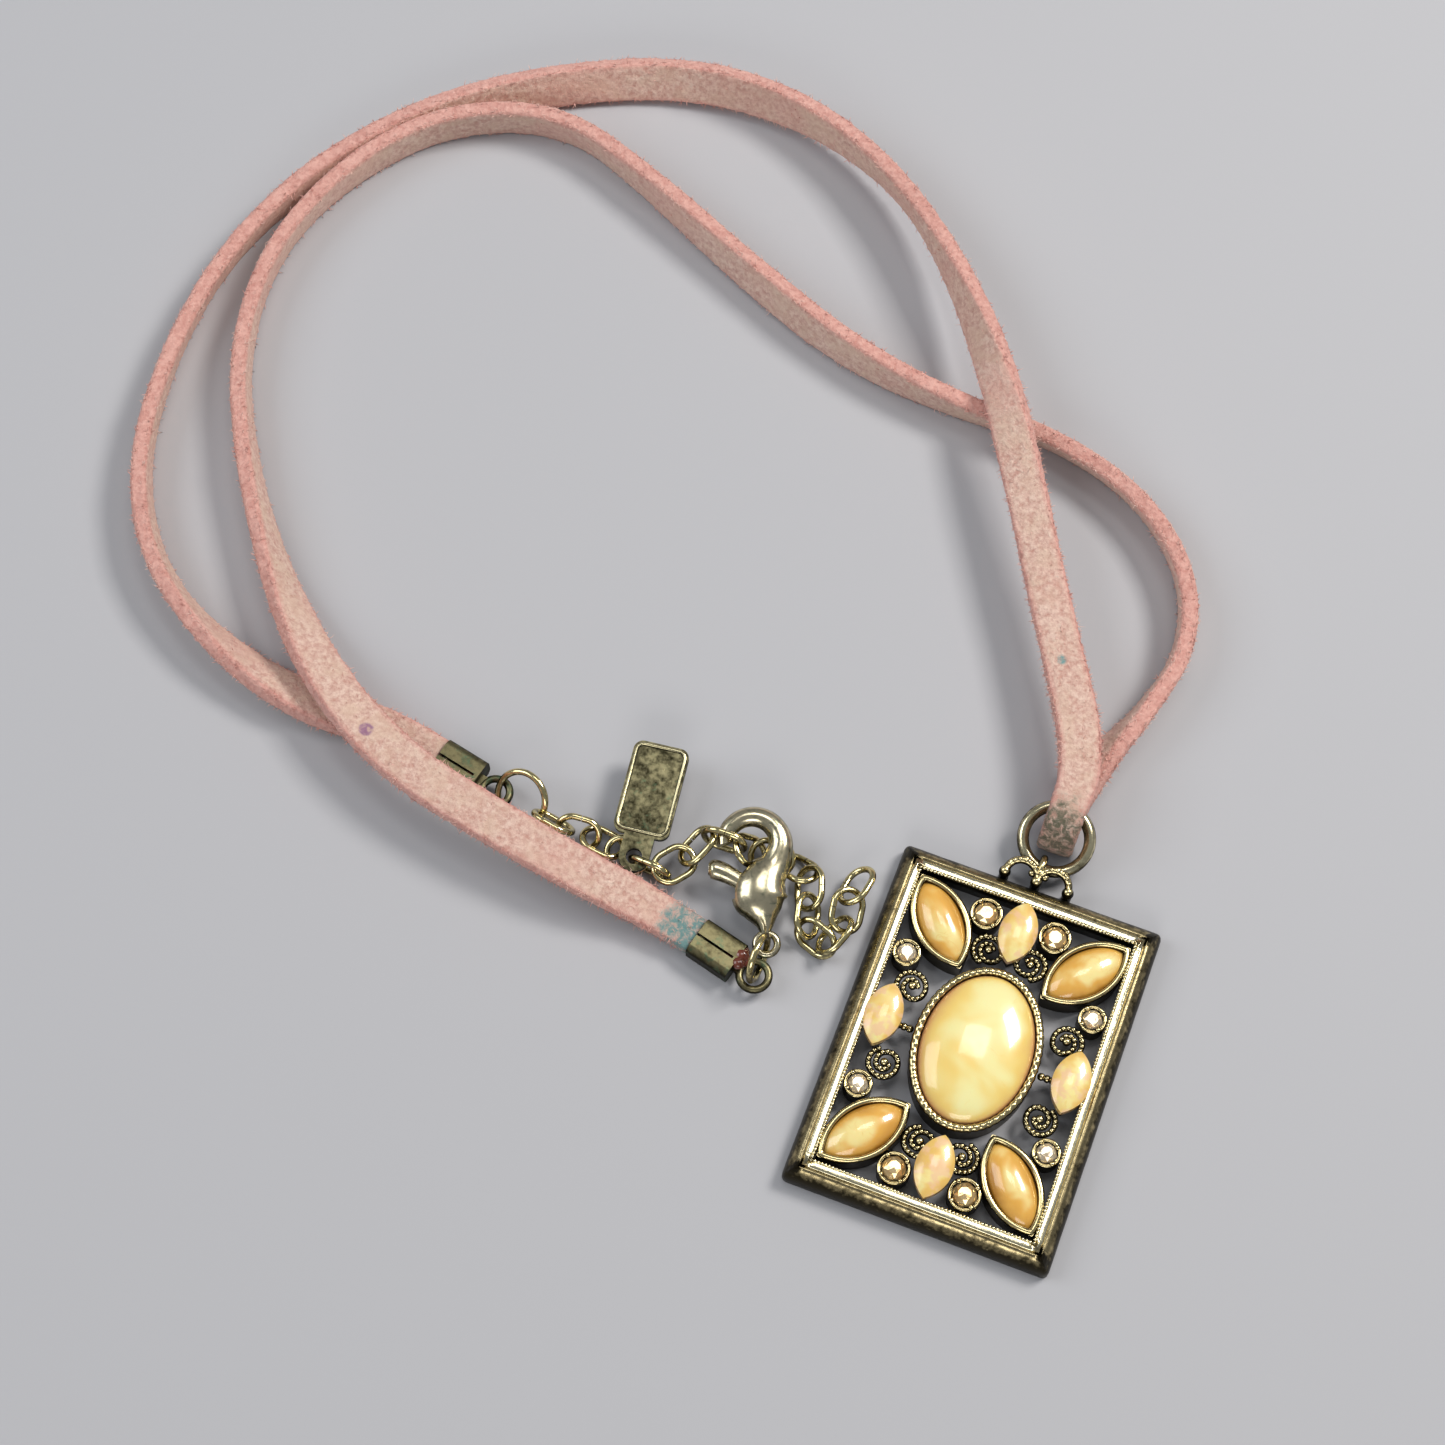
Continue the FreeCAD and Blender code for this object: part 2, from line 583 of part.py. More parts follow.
def oval_link(name, placement):
    """A chain link: two half rings joined by two straights, one straight cut where it closes."""
    pieces = []
    for side, turn in ((1, -90.0), (-1, 90.0)):
        end = primitive("Torus", f"{name}_end_{side + 1}", Radius1="(dims.link_wide - dims.link_wire) / 2",
                        Radius2="dims.link_wire / 2", Angle3="180")
        end.Placement = at(0, 0, 0, Z_AXIS, turn)
        sign = "" if side > 0 else "-"
        end.setExpression(".Placement.Base.x", f"{sign}(dims.link_long - dims.link_wide) / 2")
        pieces.append(end)
    half = "(dims.link_long - dims.link_wide) / 2"
    straights = ((-1, 0.0, f"2 * {half}"), (1, 0.0, f"{half} - 0.04"), (1, 0.04, f"{half} - 0.04"))
    for index, (side, start, length) in enumerate(straights):
        bar = primitive("Cylinder", f"{name}_bar_{index}", Radius="dims.link_wire / 2", Height=length)
        bar.Placement = Placement(Vector(start, 0, 0), Rotation(Y_AXIS, 90))
        sign = "" if side > 0 else "-"
        bar.setExpression(".Placement.Base.y", f"{sign}(dims.link_wide - dims.link_wire) / 2")
        if index < 2:
            origin = f"-{half}"
            bar.setExpression(".Placement.Base.x", origin)
        pieces.append(bar)
    node(fuse(name + "_wire", *pieces), name, placement)


def spanning(start, end, roll):
    """The placement of a link between two contact points, rolled about the line that joins them."""
    along = (end - start).normalize()
    level = Z_AXIS.cross(along).normalize()
    upright = along.cross(level)
    frame = FreeCAD.Matrix(along.x, level.x, upright.x, 0, along.y, level.y, upright.y, 0,
                           along.z, level.z, upright.z, 0, 0, 0, 0, 1)
    turned = Placement(frame).Rotation.multiply(Rotation(X_AXIS, roll))
    return Placement((start + end) * 0.5, turned)


# The chain runs from contact to contact: each link spans two neighbouring points.
FASTENED_POINTS = [
    (-44.41, 6.95, 1.86), (-41.9, 6.55, 1.77), (-39.47, 6.77, 1.55), (-37.02, 6.53, 1.35),
    (-34.5, 5.95, 1.5), (-32.07, 5.65, 2.37), (-30.45, 7.8, 2.27), (-29.33, 10.22, 3.15),
]
FASTENED_ROLLS = [-60, 36, -25, 16, 94, 9, -38]
HOOKED_POINTS = [(-29.33, 10.22, 3.15), (-26.14, 10.27, 3.15)]
HOOKED_ROLL = 80
TAIL_POINTS = [
    (-25.9, 10.09, 3.0), (-24.56, 10.8, 1.39), (-22.11, 11.03, 0.88), (-19.44, 10.37, 1.65),
    (-18.64, 8.04, 1.59), (-18.0, 5.4, 1.5), (-15.81, 4.62, 1.47), (-14.92, 6.96, 1.93),
    (-15.28, 9.49, 2.36),
]
TAIL_ROLLS = [-2, 27, -28, 40, -50, 48, -47, 23]
END_LINK_POINTS = [(-15.28, 9.49, 2.36), (-14.9, 12.0, 2.0)]
END_LINK_ROLL = -41


def chain():
    points = [Vector(*point) for point in FASTENED_POINTS]
    for index, roll in enumerate(FASTENED_ROLLS, start=1):
        oval_link(f"extender_link_{index}", spanning(points[index - 1], points[index], roll))
    hooked = [Vector(*point) for point in HOOKED_POINTS]
    oval_link("hooked_link", spanning(hooked[0], hooked[1], HOOKED_ROLL))
    points = [Vector(*point) for point in TAIL_POINTS]
    for index, roll in enumerate(TAIL_ROLLS, start=1):
        oval_link(f"tail_link_{index}", spanning(points[index - 1], points[index], roll))
    last = [Vector(*point) for point in END_LINK_POINTS]
    oval_link("end_link", spanning(last[0], last[1], END_LINK_ROLL))


# Each ring: centre, then its turns about Z, Y and X, applied from the last to the first.
RINGS = {
    "jump_ring_left": ("dims.jump_a_radius", (-46.73, 7.80, 2.04), (-13.0, -6.1, 42.3)),
    "jump_ring_clasp": ("dims.jump_b_radius", (-20.98, 1.10, 2.46), (6.4, 82.9, 8.0)),
}


def jump_rings():
    for name, (radius, centre, turns) in RINGS.items():
        turned = Rotation(Z_AXIS, turns[0])
        turned = turned.multiply(Rotation(Y_AXIS, turns[1]))
        turned = turned.multiply(Rotation(X_AXIS, turns[2]))
        jump_ring(name, radius, Placement(Vector(*centre), turned))


# ---------------------------------------------------------------- blank tag
TAG_HOLE = Vector(-34.9, 6.05, 2.45)
TAG_HEADING = 97.0
TAG_TILT = 4.0


def maker_tag():
    """A blank stamped tag: a rounded plate and a narrower neck with the hole."""
    plate = primitive("Box", "tag_plate", Length="dims.tag_long", Width="dims.tag_wide",
                      Height="dims.tag_thick")
    bind(plate, **{".Placement.Base.x": "dims.neck_long", ".Placement.Base.y": "-dims.tag_wide / 2",
                   ".Placement.Base.z": "-dims.tag_thick / 2"})
    doc.recompute()
    rounded = doc.addObject("Part::Fillet", "tag_rounded")
    rounded.Base = plate
    corners = []
    for number, edge in enumerate(plate.Shape.Edges, start=1):
        if edge.BoundBox.ZLength > dim("tag_thick") / 2:
            corners.append((number, dim("tag_corner"), dim("tag_corner")))
    rounded.Edges = corners
    neck = primitive("Box", "tag_neck", Length="dims.neck_long + 0.4", Width="dims.neck_wide",
                     Height="dims.tag_thick")
    bind(neck, **{".Placement.Base.y": "-dims.neck_wide / 2", ".Placement.Base.z": "-dims.tag_thick / 2"})
    foot = primitive("Cylinder", "tag_foot", Radius="dims.neck_wide / 2", Height="dims.tag_thick")
    foot.setExpression(".Placement.Base.z", "-dims.tag_thick / 2")
    hole = primitive("Cylinder", "tag_hole_cutter", Radius="dims.tag_hole / 2", Height="dims.tag_thick * 3")
    hole.setExpression(".Placement.Base.z", "-dims.tag_thick * 1.5")
    blank = fuse("tag_blank", rounded, neck, foot)
    turned = Rotation(Z_AXIS, TAG_HEADING).multiply(Rotation(Y_AXIS, -TAG_TILT))
    node(cut("tag_cut", blank, hole), "blank_tag", Placement(TAG_HOLE, turned))


# ---------------------------------------------------------------- lobster clasp
CLASP_EYE = Vector(-20.85, 2.87, 1.55)
CLASP_HEADING = 112.0
CLASP_LIFT = 9.0
HOOK_CENTRE = (9.15, 1.05)
PIVOT = (5.1, 1.25)
TIP_ANGLE = 108.0
ROOT_ANGLE = -128.0
BULB_CENTRE = (4.6, 0.45)
BULB_ROUNDING = 1.4


def clasp_placement():
    """The clasp's own x runs from its eye to the hook's top, and y to its thumb side."""
    turned = Rotation(Z_AXIS, CLASP_HEADING).multiply(Rotation(Y_AXIS, -CLASP_LIFT))
    return Placement(CLASP_EYE, turned)


def clasp_point(centre, radius, angle):
    turn = math.radians(angle)
    return centre[0] + radius * math.cos(turn), centre[1] + radius * math.sin(turn)


def arm(name, thickness, width, length, turn):
    """A flat bar that starts at the lever's pivot and points along turn."""
    bar = primitive("Box", name, Length=f"{length}", Width=f"{width}", Height=f"dims.{thickness}")
    turned = Rotation(Z_AXIS, turn)
    start = Vector(PIVOT[0], PIVOT[1], 0) + turned.multVec(Vector(0, -width / 2, 0))
    start.z = -dim(thickness) / 2
    bar.Placement = Placement(start, turned)
    return bar


def disc(name, x, y, radius, height):
    obj = primitive("Cylinder", name, at(x, y, 0), Radius=radius, Height=height)
    obj.setExpression(".Placement.Base.z", f"-({height}) / 2")
    return obj


LEVER_TURN = 57.0
LEVER_SWING = 28.0
LEVER_END = (6.8, 3.9)
THUMB_NUB = (6.85, 4.7)


def clasp_body():
    """A round cushion of a body, the eye at its foot and a hook that curls to a tip."""
    cushion = primitive("Cylinder", "cushion_disc", Radius="dims.bulb_wide / 2", Height="dims.bulb_thick")
    bulb = doc.addObject("Part::Fillet", "clasp_bulb")
    bulb.Base = cushion
    bulb.Edges = [(1, BULB_ROUNDING, BULB_ROUNDING), (3, BULB_ROUNDING, BULB_ROUNDING)]
    cushion.Placement = at(BULB_CENTRE[0], BULB_CENTRE[1], -dim("bulb_thick") / 2)
    neck = primitive("Cone", "clasp_neck", Radius1="0.5", Radius2="1.6", Height="3.15")
    neck.Placement = Placement(Vector(1.05, 0.1, 0), Rotation(Z_AXIS, Vector(1, 0.05, 0)))
    eye = primitive("Torus", "clasp_eye_ring", Radius1="dims.clasp_eye", Radius2="dims.clasp_eye_wire / 2")
    hook = primitive("Torus", "clasp_hook", Radius1="dims.hook_radius", Radius2="dims.hook_wire / 2",
                     Angle3=f"{TIP_ANGLE - ROOT_ANGLE}")
    hook.Placement = at(HOOK_CENTRE[0], HOOK_CENTRE[1], 0, Z_AXIS, ROOT_ANGLE)
    root_x, root_y = clasp_point(HOOK_CENTRE, dim("hook_radius"), ROOT_ANGLE)
    inward = Vector(-math.cos(math.radians(ROOT_ANGLE + 90)), -math.sin(math.radians(ROOT_ANGLE + 90)), 0)
    shoulder = primitive("Cone", "clasp_shoulder", Radius1="dims.hook_wire / 2", Radius2="1.2", Height="3")
    shoulder.Placement = Placement(Vector(root_x, root_y, 0), Rotation(Z_AXIS, inward))
    tip_x, tip_y = clasp_point(HOOK_CENTRE, dim("hook_radius"), TIP_ANGLE)
    tip = primitive("Sphere", "clasp_tip", at(tip_x, tip_y, 0), Radius="dims.hook_wire / 2")
    solid = fuse_in_turn("clasp_solid", [bulb, neck, eye, hook, shoulder, tip])
    slot_parts = [disc("slot_round", PIVOT[0], PIVOT[1], "1.05", "dims.lever_slot")]
    for index, turn in enumerate((LEVER_TURN, LEVER_TURN + LEVER_SWING / 2, LEVER_TURN + LEVER_SWING)):
        slot_parts.append(arm(f"slot_{index}", "lever_slot", 1.7, 4.5, turn))
    slot_parts.append(disc("pin_bore", PIVOT[0], PIVOT[1], "dims.pin_diameter / 2", "4"))
    pocket = primitive("Box", "spring_pocket", at(3.3, 0.0, -0.65), Length="2.0", Width="0.7", Height="1.3")
    slot_parts.append(pocket)
    for index, tool in enumerate(slot_parts):
        solid = cut(f"clasp_cut_{index}", solid, tool)
    node(solid, "clasp_body", clasp_placement())


def clasp_lever():
    """The trigger: an arm on a pin, with a round nub for the thumb."""
    hub = disc("lever_hub", PIVOT[0], PIVOT[1], "0.9", "dims.lever_thick")
    bar = arm("lever_bar", "lever_thick", 1.2, 3.1, LEVER_TURN)
    end = disc("lever_end", LEVER_END[0], LEVER_END[1], "0.65", "dims.lever_thick")
    nub = primitive("Sphere", "lever_nub", at(THUMB_NUB[0], THUMB_NUB[1], 0), Radius="0.8")
    bore = disc("lever_bore", PIVOT[0], PIVOT[1], "dims.pin_diameter / 2 + dims.pin_clearance", "4")
    solid = fuse_in_turn("lever_solid", [hub, bar, end, nub])
    node(cut("lever_bored", solid, bore), "clasp_lever", clasp_placement())


def clasp_pin_and_spring():
    pin = primitive("Cylinder", "pin_rod", Radius="dims.pin_diameter / 2", Height="2.8")
    place = clasp_placement()
    foot = place.multVec(Vector(PIVOT[0], PIVOT[1], -1.4))
    node(pin, "clasp_pin", Placement(foot, place.Rotation))
    leaf = primitive("Box", "leaf", Length="1.7", Width="0.14", Height="1.1")
    corner = place.multVec(Vector(3.45, 0.06, -0.55))
    node(leaf, "clasp_spring", Placement(corner, place.Rotation))


# ---------------------------------------------------------------- build, check and write
def main():
    pendant_frame()
    oval_setting()
    corner_settings()
    navettes()
    rhinestone_group("large", LARGE_STONES)
    rhinestone_group("small", SMALL_STONES)
    scrolls()
    bead_links()
    bail_crown()
    bail_ring()
    suede_lace()
    drops = []
    for side, (entry, heading) in (("left", CRIMP_LEFT), ("right", CRIMP_RIGHT)):
        cord_end(f"crimp_{side}", f"cord_end_{side}", entry, heading)
        drops.append(glue_bead(f"glue_{side}", entry, heading))
    group = doc.addObject("Part::Compound", "glue_group")
    group.Links = drops
    node(group, "glue_drops", at(0, 0, 0))
    jump_rings()
    chain()
    maker_tag()
    clasp_body()
    clasp_lever()
    clasp_pin_and_spring()
    doc.recompute()
    for obj in doc.Objects:
        if "Invalid" in obj.State or "Error" in obj.State:
            raise RuntimeError(f"{obj.Name} failed: {obj.State}")
    os.makedirs("parts", exist_ok=True)
    for obj in NODES:
        shape = obj.Shape
        if shape.isNull() or not shape.isValid():
            raise RuntimeError(f"{obj.Label} has no valid shape")
        shape.exportStep(f"parts/{obj.Label}.step")
    print(len(NODES), "sub-parts written")


main()
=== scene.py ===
"""Looks for the pendant necklace: a stone-set frame on a pink suede lace, with its chain and clasp."""
import math
import bmesh
import bpy
import numpy as np
from mathutils import Matrix, Vector


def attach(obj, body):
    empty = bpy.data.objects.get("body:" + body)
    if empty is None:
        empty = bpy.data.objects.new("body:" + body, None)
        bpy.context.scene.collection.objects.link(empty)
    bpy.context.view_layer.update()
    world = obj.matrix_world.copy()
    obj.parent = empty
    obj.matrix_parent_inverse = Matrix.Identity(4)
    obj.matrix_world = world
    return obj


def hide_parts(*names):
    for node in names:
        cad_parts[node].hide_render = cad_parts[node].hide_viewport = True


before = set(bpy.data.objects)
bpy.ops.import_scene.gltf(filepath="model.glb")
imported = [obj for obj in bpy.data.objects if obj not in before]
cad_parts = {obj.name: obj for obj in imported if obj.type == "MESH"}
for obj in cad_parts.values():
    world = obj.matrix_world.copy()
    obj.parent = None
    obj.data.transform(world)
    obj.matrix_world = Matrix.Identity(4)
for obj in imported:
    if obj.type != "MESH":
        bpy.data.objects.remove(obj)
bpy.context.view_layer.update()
MM = 0.001
scene = bpy.context.scene
rng = np.random.default_rng(11)
QUARTERS = {"top_right": (1, 1), "top_left": (-1, 1), "bottom_left": (-1, -1), "bottom_right": (1, -1)}


# ------------------------------------------------------------------ mesh helpers, all in millimetres
def new_piece(name, verts, faces, material, body, replaces=(), smooth=True, attrs=None):
    """Makes one mesh piece from millimetres, on its body and with the CAD nodes that it stands for."""
    mesh = bpy.data.meshes.new(name)
    mesh.from_pydata([tuple(v) for v in np.asarray(verts, float) * MM], [], faces)
    mesh.update()
    if attrs is not None:
        layer = mesh.color_attributes.new("map", "FLOAT_COLOR", "POINT")
        layer.data.foreach_set("color", np.asarray(attrs, np.float32).ravel())
    mesh.polygons.foreach_set("use_smooth", [smooth] * len(mesh.polygons))
    mesh.materials.append(material)
    piece = bpy.data.objects.new(name, mesh)
    scene.collection.objects.link(piece)
    if body:
        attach(piece, body)
    if replaces:
        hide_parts(*replaces)
    return piece


def ball_template(level):
    bm = bmesh.new()
    bmesh.ops.create_icosphere(bm, subdivisions=level, radius=1.0)
    verts = np.array([v.co[:] for v in bm.verts])
    faces = [[v.index for v in f.verts] for f in bm.faces]
    bm.free()
    return verts, faces


BALL = ball_template(2)
SMALL_BALL = ball_template(1)


class Builder:
    """Collects solids into one mesh."""

    def __init__(self):
        self.verts = []
        self.faces = []
        self.count = 0

    def add(self, verts, faces):
        verts = np.asarray(verts, float)
        self.verts.append(verts)
        self.faces += [[i + self.count for i in face] for face in faces]
        self.count += len(verts)

    def ball(self, centre, radius, template=None, stretch=(1, 1, 1)):
        verts, faces = template or BALL
        self.add(verts * np.array(stretch) * radius + np.array(centre, float), faces)

    def tube(self, path, radius, sides=10, closed=False, up=(0, 0, 1), flat=1.0):
        """A round or flattened tube along a path; radius is one number or one per point."""
        path = np.asarray(path, float)
        count = len(path)
        radius = np.broadcast_to(np.asarray(radius, float), (count,))
        if closed:
            along = np.roll(path, -1, 0) - np.roll(path, 1, 0)
        else:
            along = np.gradient(path, axis=0)
        along /= np.linalg.norm(along, axis=1)[:, None]
        side = np.cross(along, np.array(up, float))
        short = np.linalg.norm(side, axis=1) < 0.05
        side[short] = np.cross(along[short], (1.0, 0.02, 0.0))
        side /= np.linalg.norm(side, axis=1)[:, None]
        high = np.cross(side, along)
        turns = np.linspace(0, 2 * math.pi, sides, endpoint=False)
        ring = (side[:, None] * np.cos(turns)[None, :, None]
                + high[:, None] * (np.sin(turns) * flat)[None, :, None])
        verts = (path[:, None] + ring * radius[:, None, None]).reshape(-1, 3)
        faces = []
        for i in range(count if closed else count - 1):
            j = (i + 1) % count
            for k in range(sides):
                m = (k + 1) % sides
                faces.append([i * sides + k, i * sides + m, j * sides + m, j * sides + k])
        if not closed:
            faces.append(list(range(sides)))
            faces.append([(count - 1) * sides + k for k in reversed(range(sides))])
        self.add(verts, faces)

    def beads(self, path, radius, gap, template=None, closed=False):
        for spot in evenly(path, gap, closed):
            self.ball(spot, radius, template or SMALL_BALL)

    def piece(self, name, material, body, slot, replaces=(), smooth=True):
        return new_piece(name, np.vstack(self.verts), self.faces, material, body, replaces, smooth)


def evenly(path, gap, closed=False):
    """Points along a path, the same distance apart."""
    path = np.asarray(path, float)
    if closed:
        path = np.vstack([path, path[:1]])
    steps = np.linalg.norm(np.diff(path, axis=0), axis=1)
    where = np.concatenate([[0], np.cumsum(steps)])
    count = max(2, round(where[-1] / gap))
    stops = np.linspace(0, where[-1], count + (1 if closed else 0))
    if closed:
        stops = stops[:-1]
    return np.stack([np.interp(stops, where, path[:, k]) for k in range(3)], axis=1)


def arc(centre, radius, start, stop, z, count=24, squash=1.0):
    turns = np.radians(np.linspace(start, stop, count))
    return np.stack([centre[0] + radius * np.cos(turns), centre[1] + radius * squash * np.sin(turns),
                     np.full(count, float(z))], axis=1)


def oval(half_wide, half_long, z, count=96):
    turns = np.linspace(0, 2 * math.pi, count, endpoint=False)
    level = np.full(count, float(z))
    return np.stack([half_wide * np.cos(turns), half_long * np.sin(turns), level], axis=1)


def marquise(long, wide, z, count=28):
    """The outline of a pointed oval whose long axis is Y."""
    radius = (long ** 2 + wide ** 2) / (4 * wide)
    half = math.asin(long / 2 / radius)
    right = [(radius * math.cos(a) - (radius - wide / 2), radius * math.sin(a), z)
             for a in np.linspace(-half, half, count)]
    left = [(-x, -y, z) for x, y, z in right]
    return np.array(right[:-1] + left[:-1])


def placed(points, x, y, turn):
    c, s = math.cos(math.radians(turn)), math.sin(math.radians(turn))
    points = np.asarray(points, float)
    return np.stack([x + c * points[:, 0] - s * points[:, 1], y + s * points[:, 0] + c * points[:, 1],
                     points[:, 2]], axis=1)


# ------------------------------------------------------------------ material helpers
class Nodes:
    def __init__(self, name):
        self.material = bpy.data.materials.new(name)
        self.material.use_nodes = True
        self.tree = self.material.node_tree
        self.shader = self.tree.nodes["Principled BSDF"]

    def node(self, kind, **inputs):
        item = self.tree.nodes.new(kind)
        for key, value in inputs.items():
            if key in ("operation", "attribute_name", "interpolation_type"):
                setattr(item, key, value)
                continue
            numbered = key[0] == "i" and key[1:].isdigit()
            self.put(item.inputs[int(key[1:]) if numbered else key], value)
        return item

    def put(self, socket, value):
        if isinstance(value, bpy.types.NodeSocket):
            self.tree.links.new(value, socket)
        elif isinstance(value, tuple) and len(value) == 3 and socket.type == "RGBA":
            socket.default_value = (*value, 1.0)
        else:
            socket.default_value = value

    def place(self):
        return self.node("ShaderNodeTexCoord").outputs["Object"]

    def noise(self, size_mm, detail=3.0, rough=0.55, vector=None, warp=0.0):
        item = self.node("ShaderNodeTexNoise", Vector=vector or self.place(), Scale=1000.0 / size_mm,
                         Detail=detail, Roughness=rough, Distortion=warp)
        return item.outputs["Fac"]

    def ramp(self, value, low, high, out_low=0.0, out_high=1.0):
        item = self.node("ShaderNodeMapRange", i0=value, i1=low, i2=high, i3=out_low, i4=out_high,
                         interpolation_type="SMOOTHSTEP")
        return item.outputs[0]

    def math(self, operation, a, b=0.0):
        return self.node("ShaderNodeMath", operation=operation, i0=a, i1=b).outputs[0]

    def mix(self, factor, a, b):
        item = self.tree.nodes.new("ShaderNodeMix")
        item.data_type = "RGBA"
        self.put(item.inputs[0], factor)
        self.put(item.inputs[6], a)
        self.put(item.inputs[7], b)
        return item.outputs[2]

    def bump(self, height, strength, distance_mm):
        item = self.node("ShaderNodeBump", Strength=strength, Distance=distance_mm * MM, Height=height)
        self.tree.links.new(item.outputs["Normal"], self.shader.inputs["Normal"])

    def set(self, **values):
        for key, value in values.items():
            self.put(self.shader.inputs[key.replace("_", " ")], value)
        return self.material


def metal(name, bright, dark, bright_cut=0.5, rough=(0.18, 0.4), top_light_share=0.6, pit=0.25, green=0.0, grain=0.5):
    """Cast or drawn brass: pale where it faces up, a painted highlight from the light above, and pale in
    worn noise blotches; dark in the rest.
    """
    n = Nodes(name)
    blotch = n.noise(1.7, 5.0, 0.6)
    fine = n.noise(grain, 4.0, 0.65)
    normal = n.node("ShaderNodeNewGeometry").outputs["Normal"]
    lift = n.node("ShaderNodeSeparateXYZ", Vector=normal).outputs["Z"]
    lift = n.ramp(lift, 0.15, 0.95)
    # the upward tilt gives a painted highlight on faces that point up; blotch and fine noise give worn
    # patches
    wear_and_top_light = n.math("ADD", n.math("MULTIPLY", lift, top_light_share), n.math("MULTIPLY", blotch, 1.0 - top_light_share))
    wear_and_top_light = n.math("ADD", wear_and_top_light, n.math("MULTIPLY", n.math("SUBTRACT", fine, 0.5), 0.7))
    wear_and_top_light = n.ramp(wear_and_top_light, bright_cut - 0.22, bright_cut + 0.25)
    colour = n.mix(wear_and_top_light, dark, bright)
    if green:
        stain = n.ramp(n.noise(1.1, 4.0, 0.7, warp=0.6), 0.62 - green * 0.25, 0.78 - green * 0.2)
        colour = n.mix(n.math("MULTIPLY", stain, 0.75), colour, (0.09, 0.17, 0.10))
    n.bump(n.noise(pit, 3.0, 0.6), 0.22, 0.03)
    roughness = n.ramp(wear_and_top_light, 0.0, 1.0, rough[1], rough[0])
    roughness = n.math("ADD", roughness, n.math("MULTIPLY", n.math("SUBTRACT", fine, 0.5), 0.16))
    return n.set(Base_Color=colour, Metallic=1.0, Roughness=roughness)


# stains on the lace: the centre of each and how far it reaches, in mm, and its colour
STAINS = (
    ((-27.2, 1.5, 1.6), 5.6, (0.12, 0.30, 0.30)),
    ((0.4, 21.0, 3.6), 6.2, (0.085, 0.10, 0.06)),
    ((-4.6, 37.0, 5.4), 1.0, (0.14, 0.36, 0.36)),
    ((-62.0, 8.0, 5.0), 1.1, (0.34, 0.16, 0.28)),
    ((6.4, 41.5, 2.0), 2.2, (0.30, 0.30, 0.30)),
)


def suede():
    """Napped suede, paler on its faces than on its cut edges, with a few stains."""
    n = Nodes("pink_suede")
    field = n.node("ShaderNodeAttribute", attribute_name="map").outputs["Color"]
    split = n.node("ShaderNodeSeparateColor", Color=field)
    edge = split.outputs[0]
    nap = n.noise(0.55, 5.0, 0.75)
    mottle = n.noise(2.6, 4.0, 0.6, warp=0.4)
    patch = n.noise(11.0, 2.0, 0.5)
    face = n.mix(n.ramp(nap, 0.32, 0.68), (0.62, 0.33, 0.265), (0.93, 0.70, 0.58))
    face = n.mix(n.ramp(mottle, 0.42, 0.68, 0.0, 0.55), face, (0.80, 0.58, 0.44))
    face = n.mix(n.ramp(patch, 0.45, 0.7, 0.0, 0.35), face, (0.80, 0.42, 0.35))
    rim = n.mix(n.ramp(nap, 0.3, 0.7), (0.66, 0.30, 0.25), (0.90, 0.52, 0.44))
    colour = n.mix(n.ramp(edge, 0.25, 0.85), face, rim)
    place = n.place()
    for spot, reach, tint in STAINS:
        centre = tuple(v * MM for v in spot)
        away = n.node("ShaderNodeVectorMath", operation="DISTANCE", i0=place, i1=centre)
        near = n.ramp(away.outputs["Value"], 0.0, reach * MM, 1.0, 0.0)
        ragged = n.math("MULTIPLY", n.noise(1.1, 5.0, 0.75), 1.1)
        spread = n.ramp(n.math("ADD", near, ragged), 0.74, 1.12)
        streak = n.ramp(n.noise(0.75, 4.0, 0.7, warp=0.8), 0.36, 0.58, 0.25, 0.92)
        colour = n.mix(n.math("MULTIPLY", spread, streak), colour, tint)
    height = n.math("ADD", nap, n.math("MULTIPLY", n.noise(1.4, 3.0, 0.6), 0.8))
    n.bump(height, 0.9, 0.30)
    return n.set(Base_Color=colour, Roughness=0.93, Specular_IOR_Level=0.18, Sheen_Weight=0.35,
                 Sheen_Roughness=0.55, Sheen_Tint=(1.0, 0.78, 0.72))


def cabochon(name, rim, body, top_highlight, cloud_size, spread, blush=None, rough=0.2):
    """A polished shell stone: deep colour towards its rim and pale where it faces up, partly its own
    tones and partly painted shade and a painted highlight from the light above; clouds and veins are its
    own colour.
    """
    n = Nodes(name)
    normal = n.node("ShaderNodeNewGeometry").outputs["Normal"]
    lift = n.node("ShaderNodeSeparateXYZ", Vector=normal).outputs["Z"]
    cloud = n.noise(cloud_size, 2.0, 0.45, warp=0.5)
    # upward tilt plus cloud: the deep rim is partly painted shade and the pale top partly a painted
    # highlight
    top_light_and_cloud = n.math("ADD", lift, n.math("MULTIPLY", n.math("SUBTRACT", cloud, 0.5), spread))
    colour = n.mix(n.ramp(top_light_and_cloud, 0.50, 0.93), rim, body)
    # the palest colour, laid where the stone faces up, is a painted highlight
    colour = n.mix(n.ramp(top_light_and_cloud, 0.86, 1.06, 0.0, 0.92), colour, top_highlight)
    vein = n.noise(cloud_size * 0.35, 4.0, 0.6, warp=1.0)
    colour = n.mix(n.ramp(vein, 0.55, 0.72, 0.0, 0.35), colour, body)
    if blush:
        colour = n.mix(n.ramp(n.noise(cloud_size * 0.6, 2.0, 0.5), 0.48, 0.64, 0.0, 0.75), colour, blush)
    n.bump(n.noise(1.3, 2.0, 0.5), 0.05, 0.04)
    return n.set(Base_Color=colour, Roughness=rough, Coat_Weight=0.9, Coat_Roughness=0.04,
                 Subsurface_Weight=0.15, Subsurface_Radius=(0.9, 0.6, 0.3), Subsurface_Scale=0.0010,
                 Specular_IOR_Level=0.6)


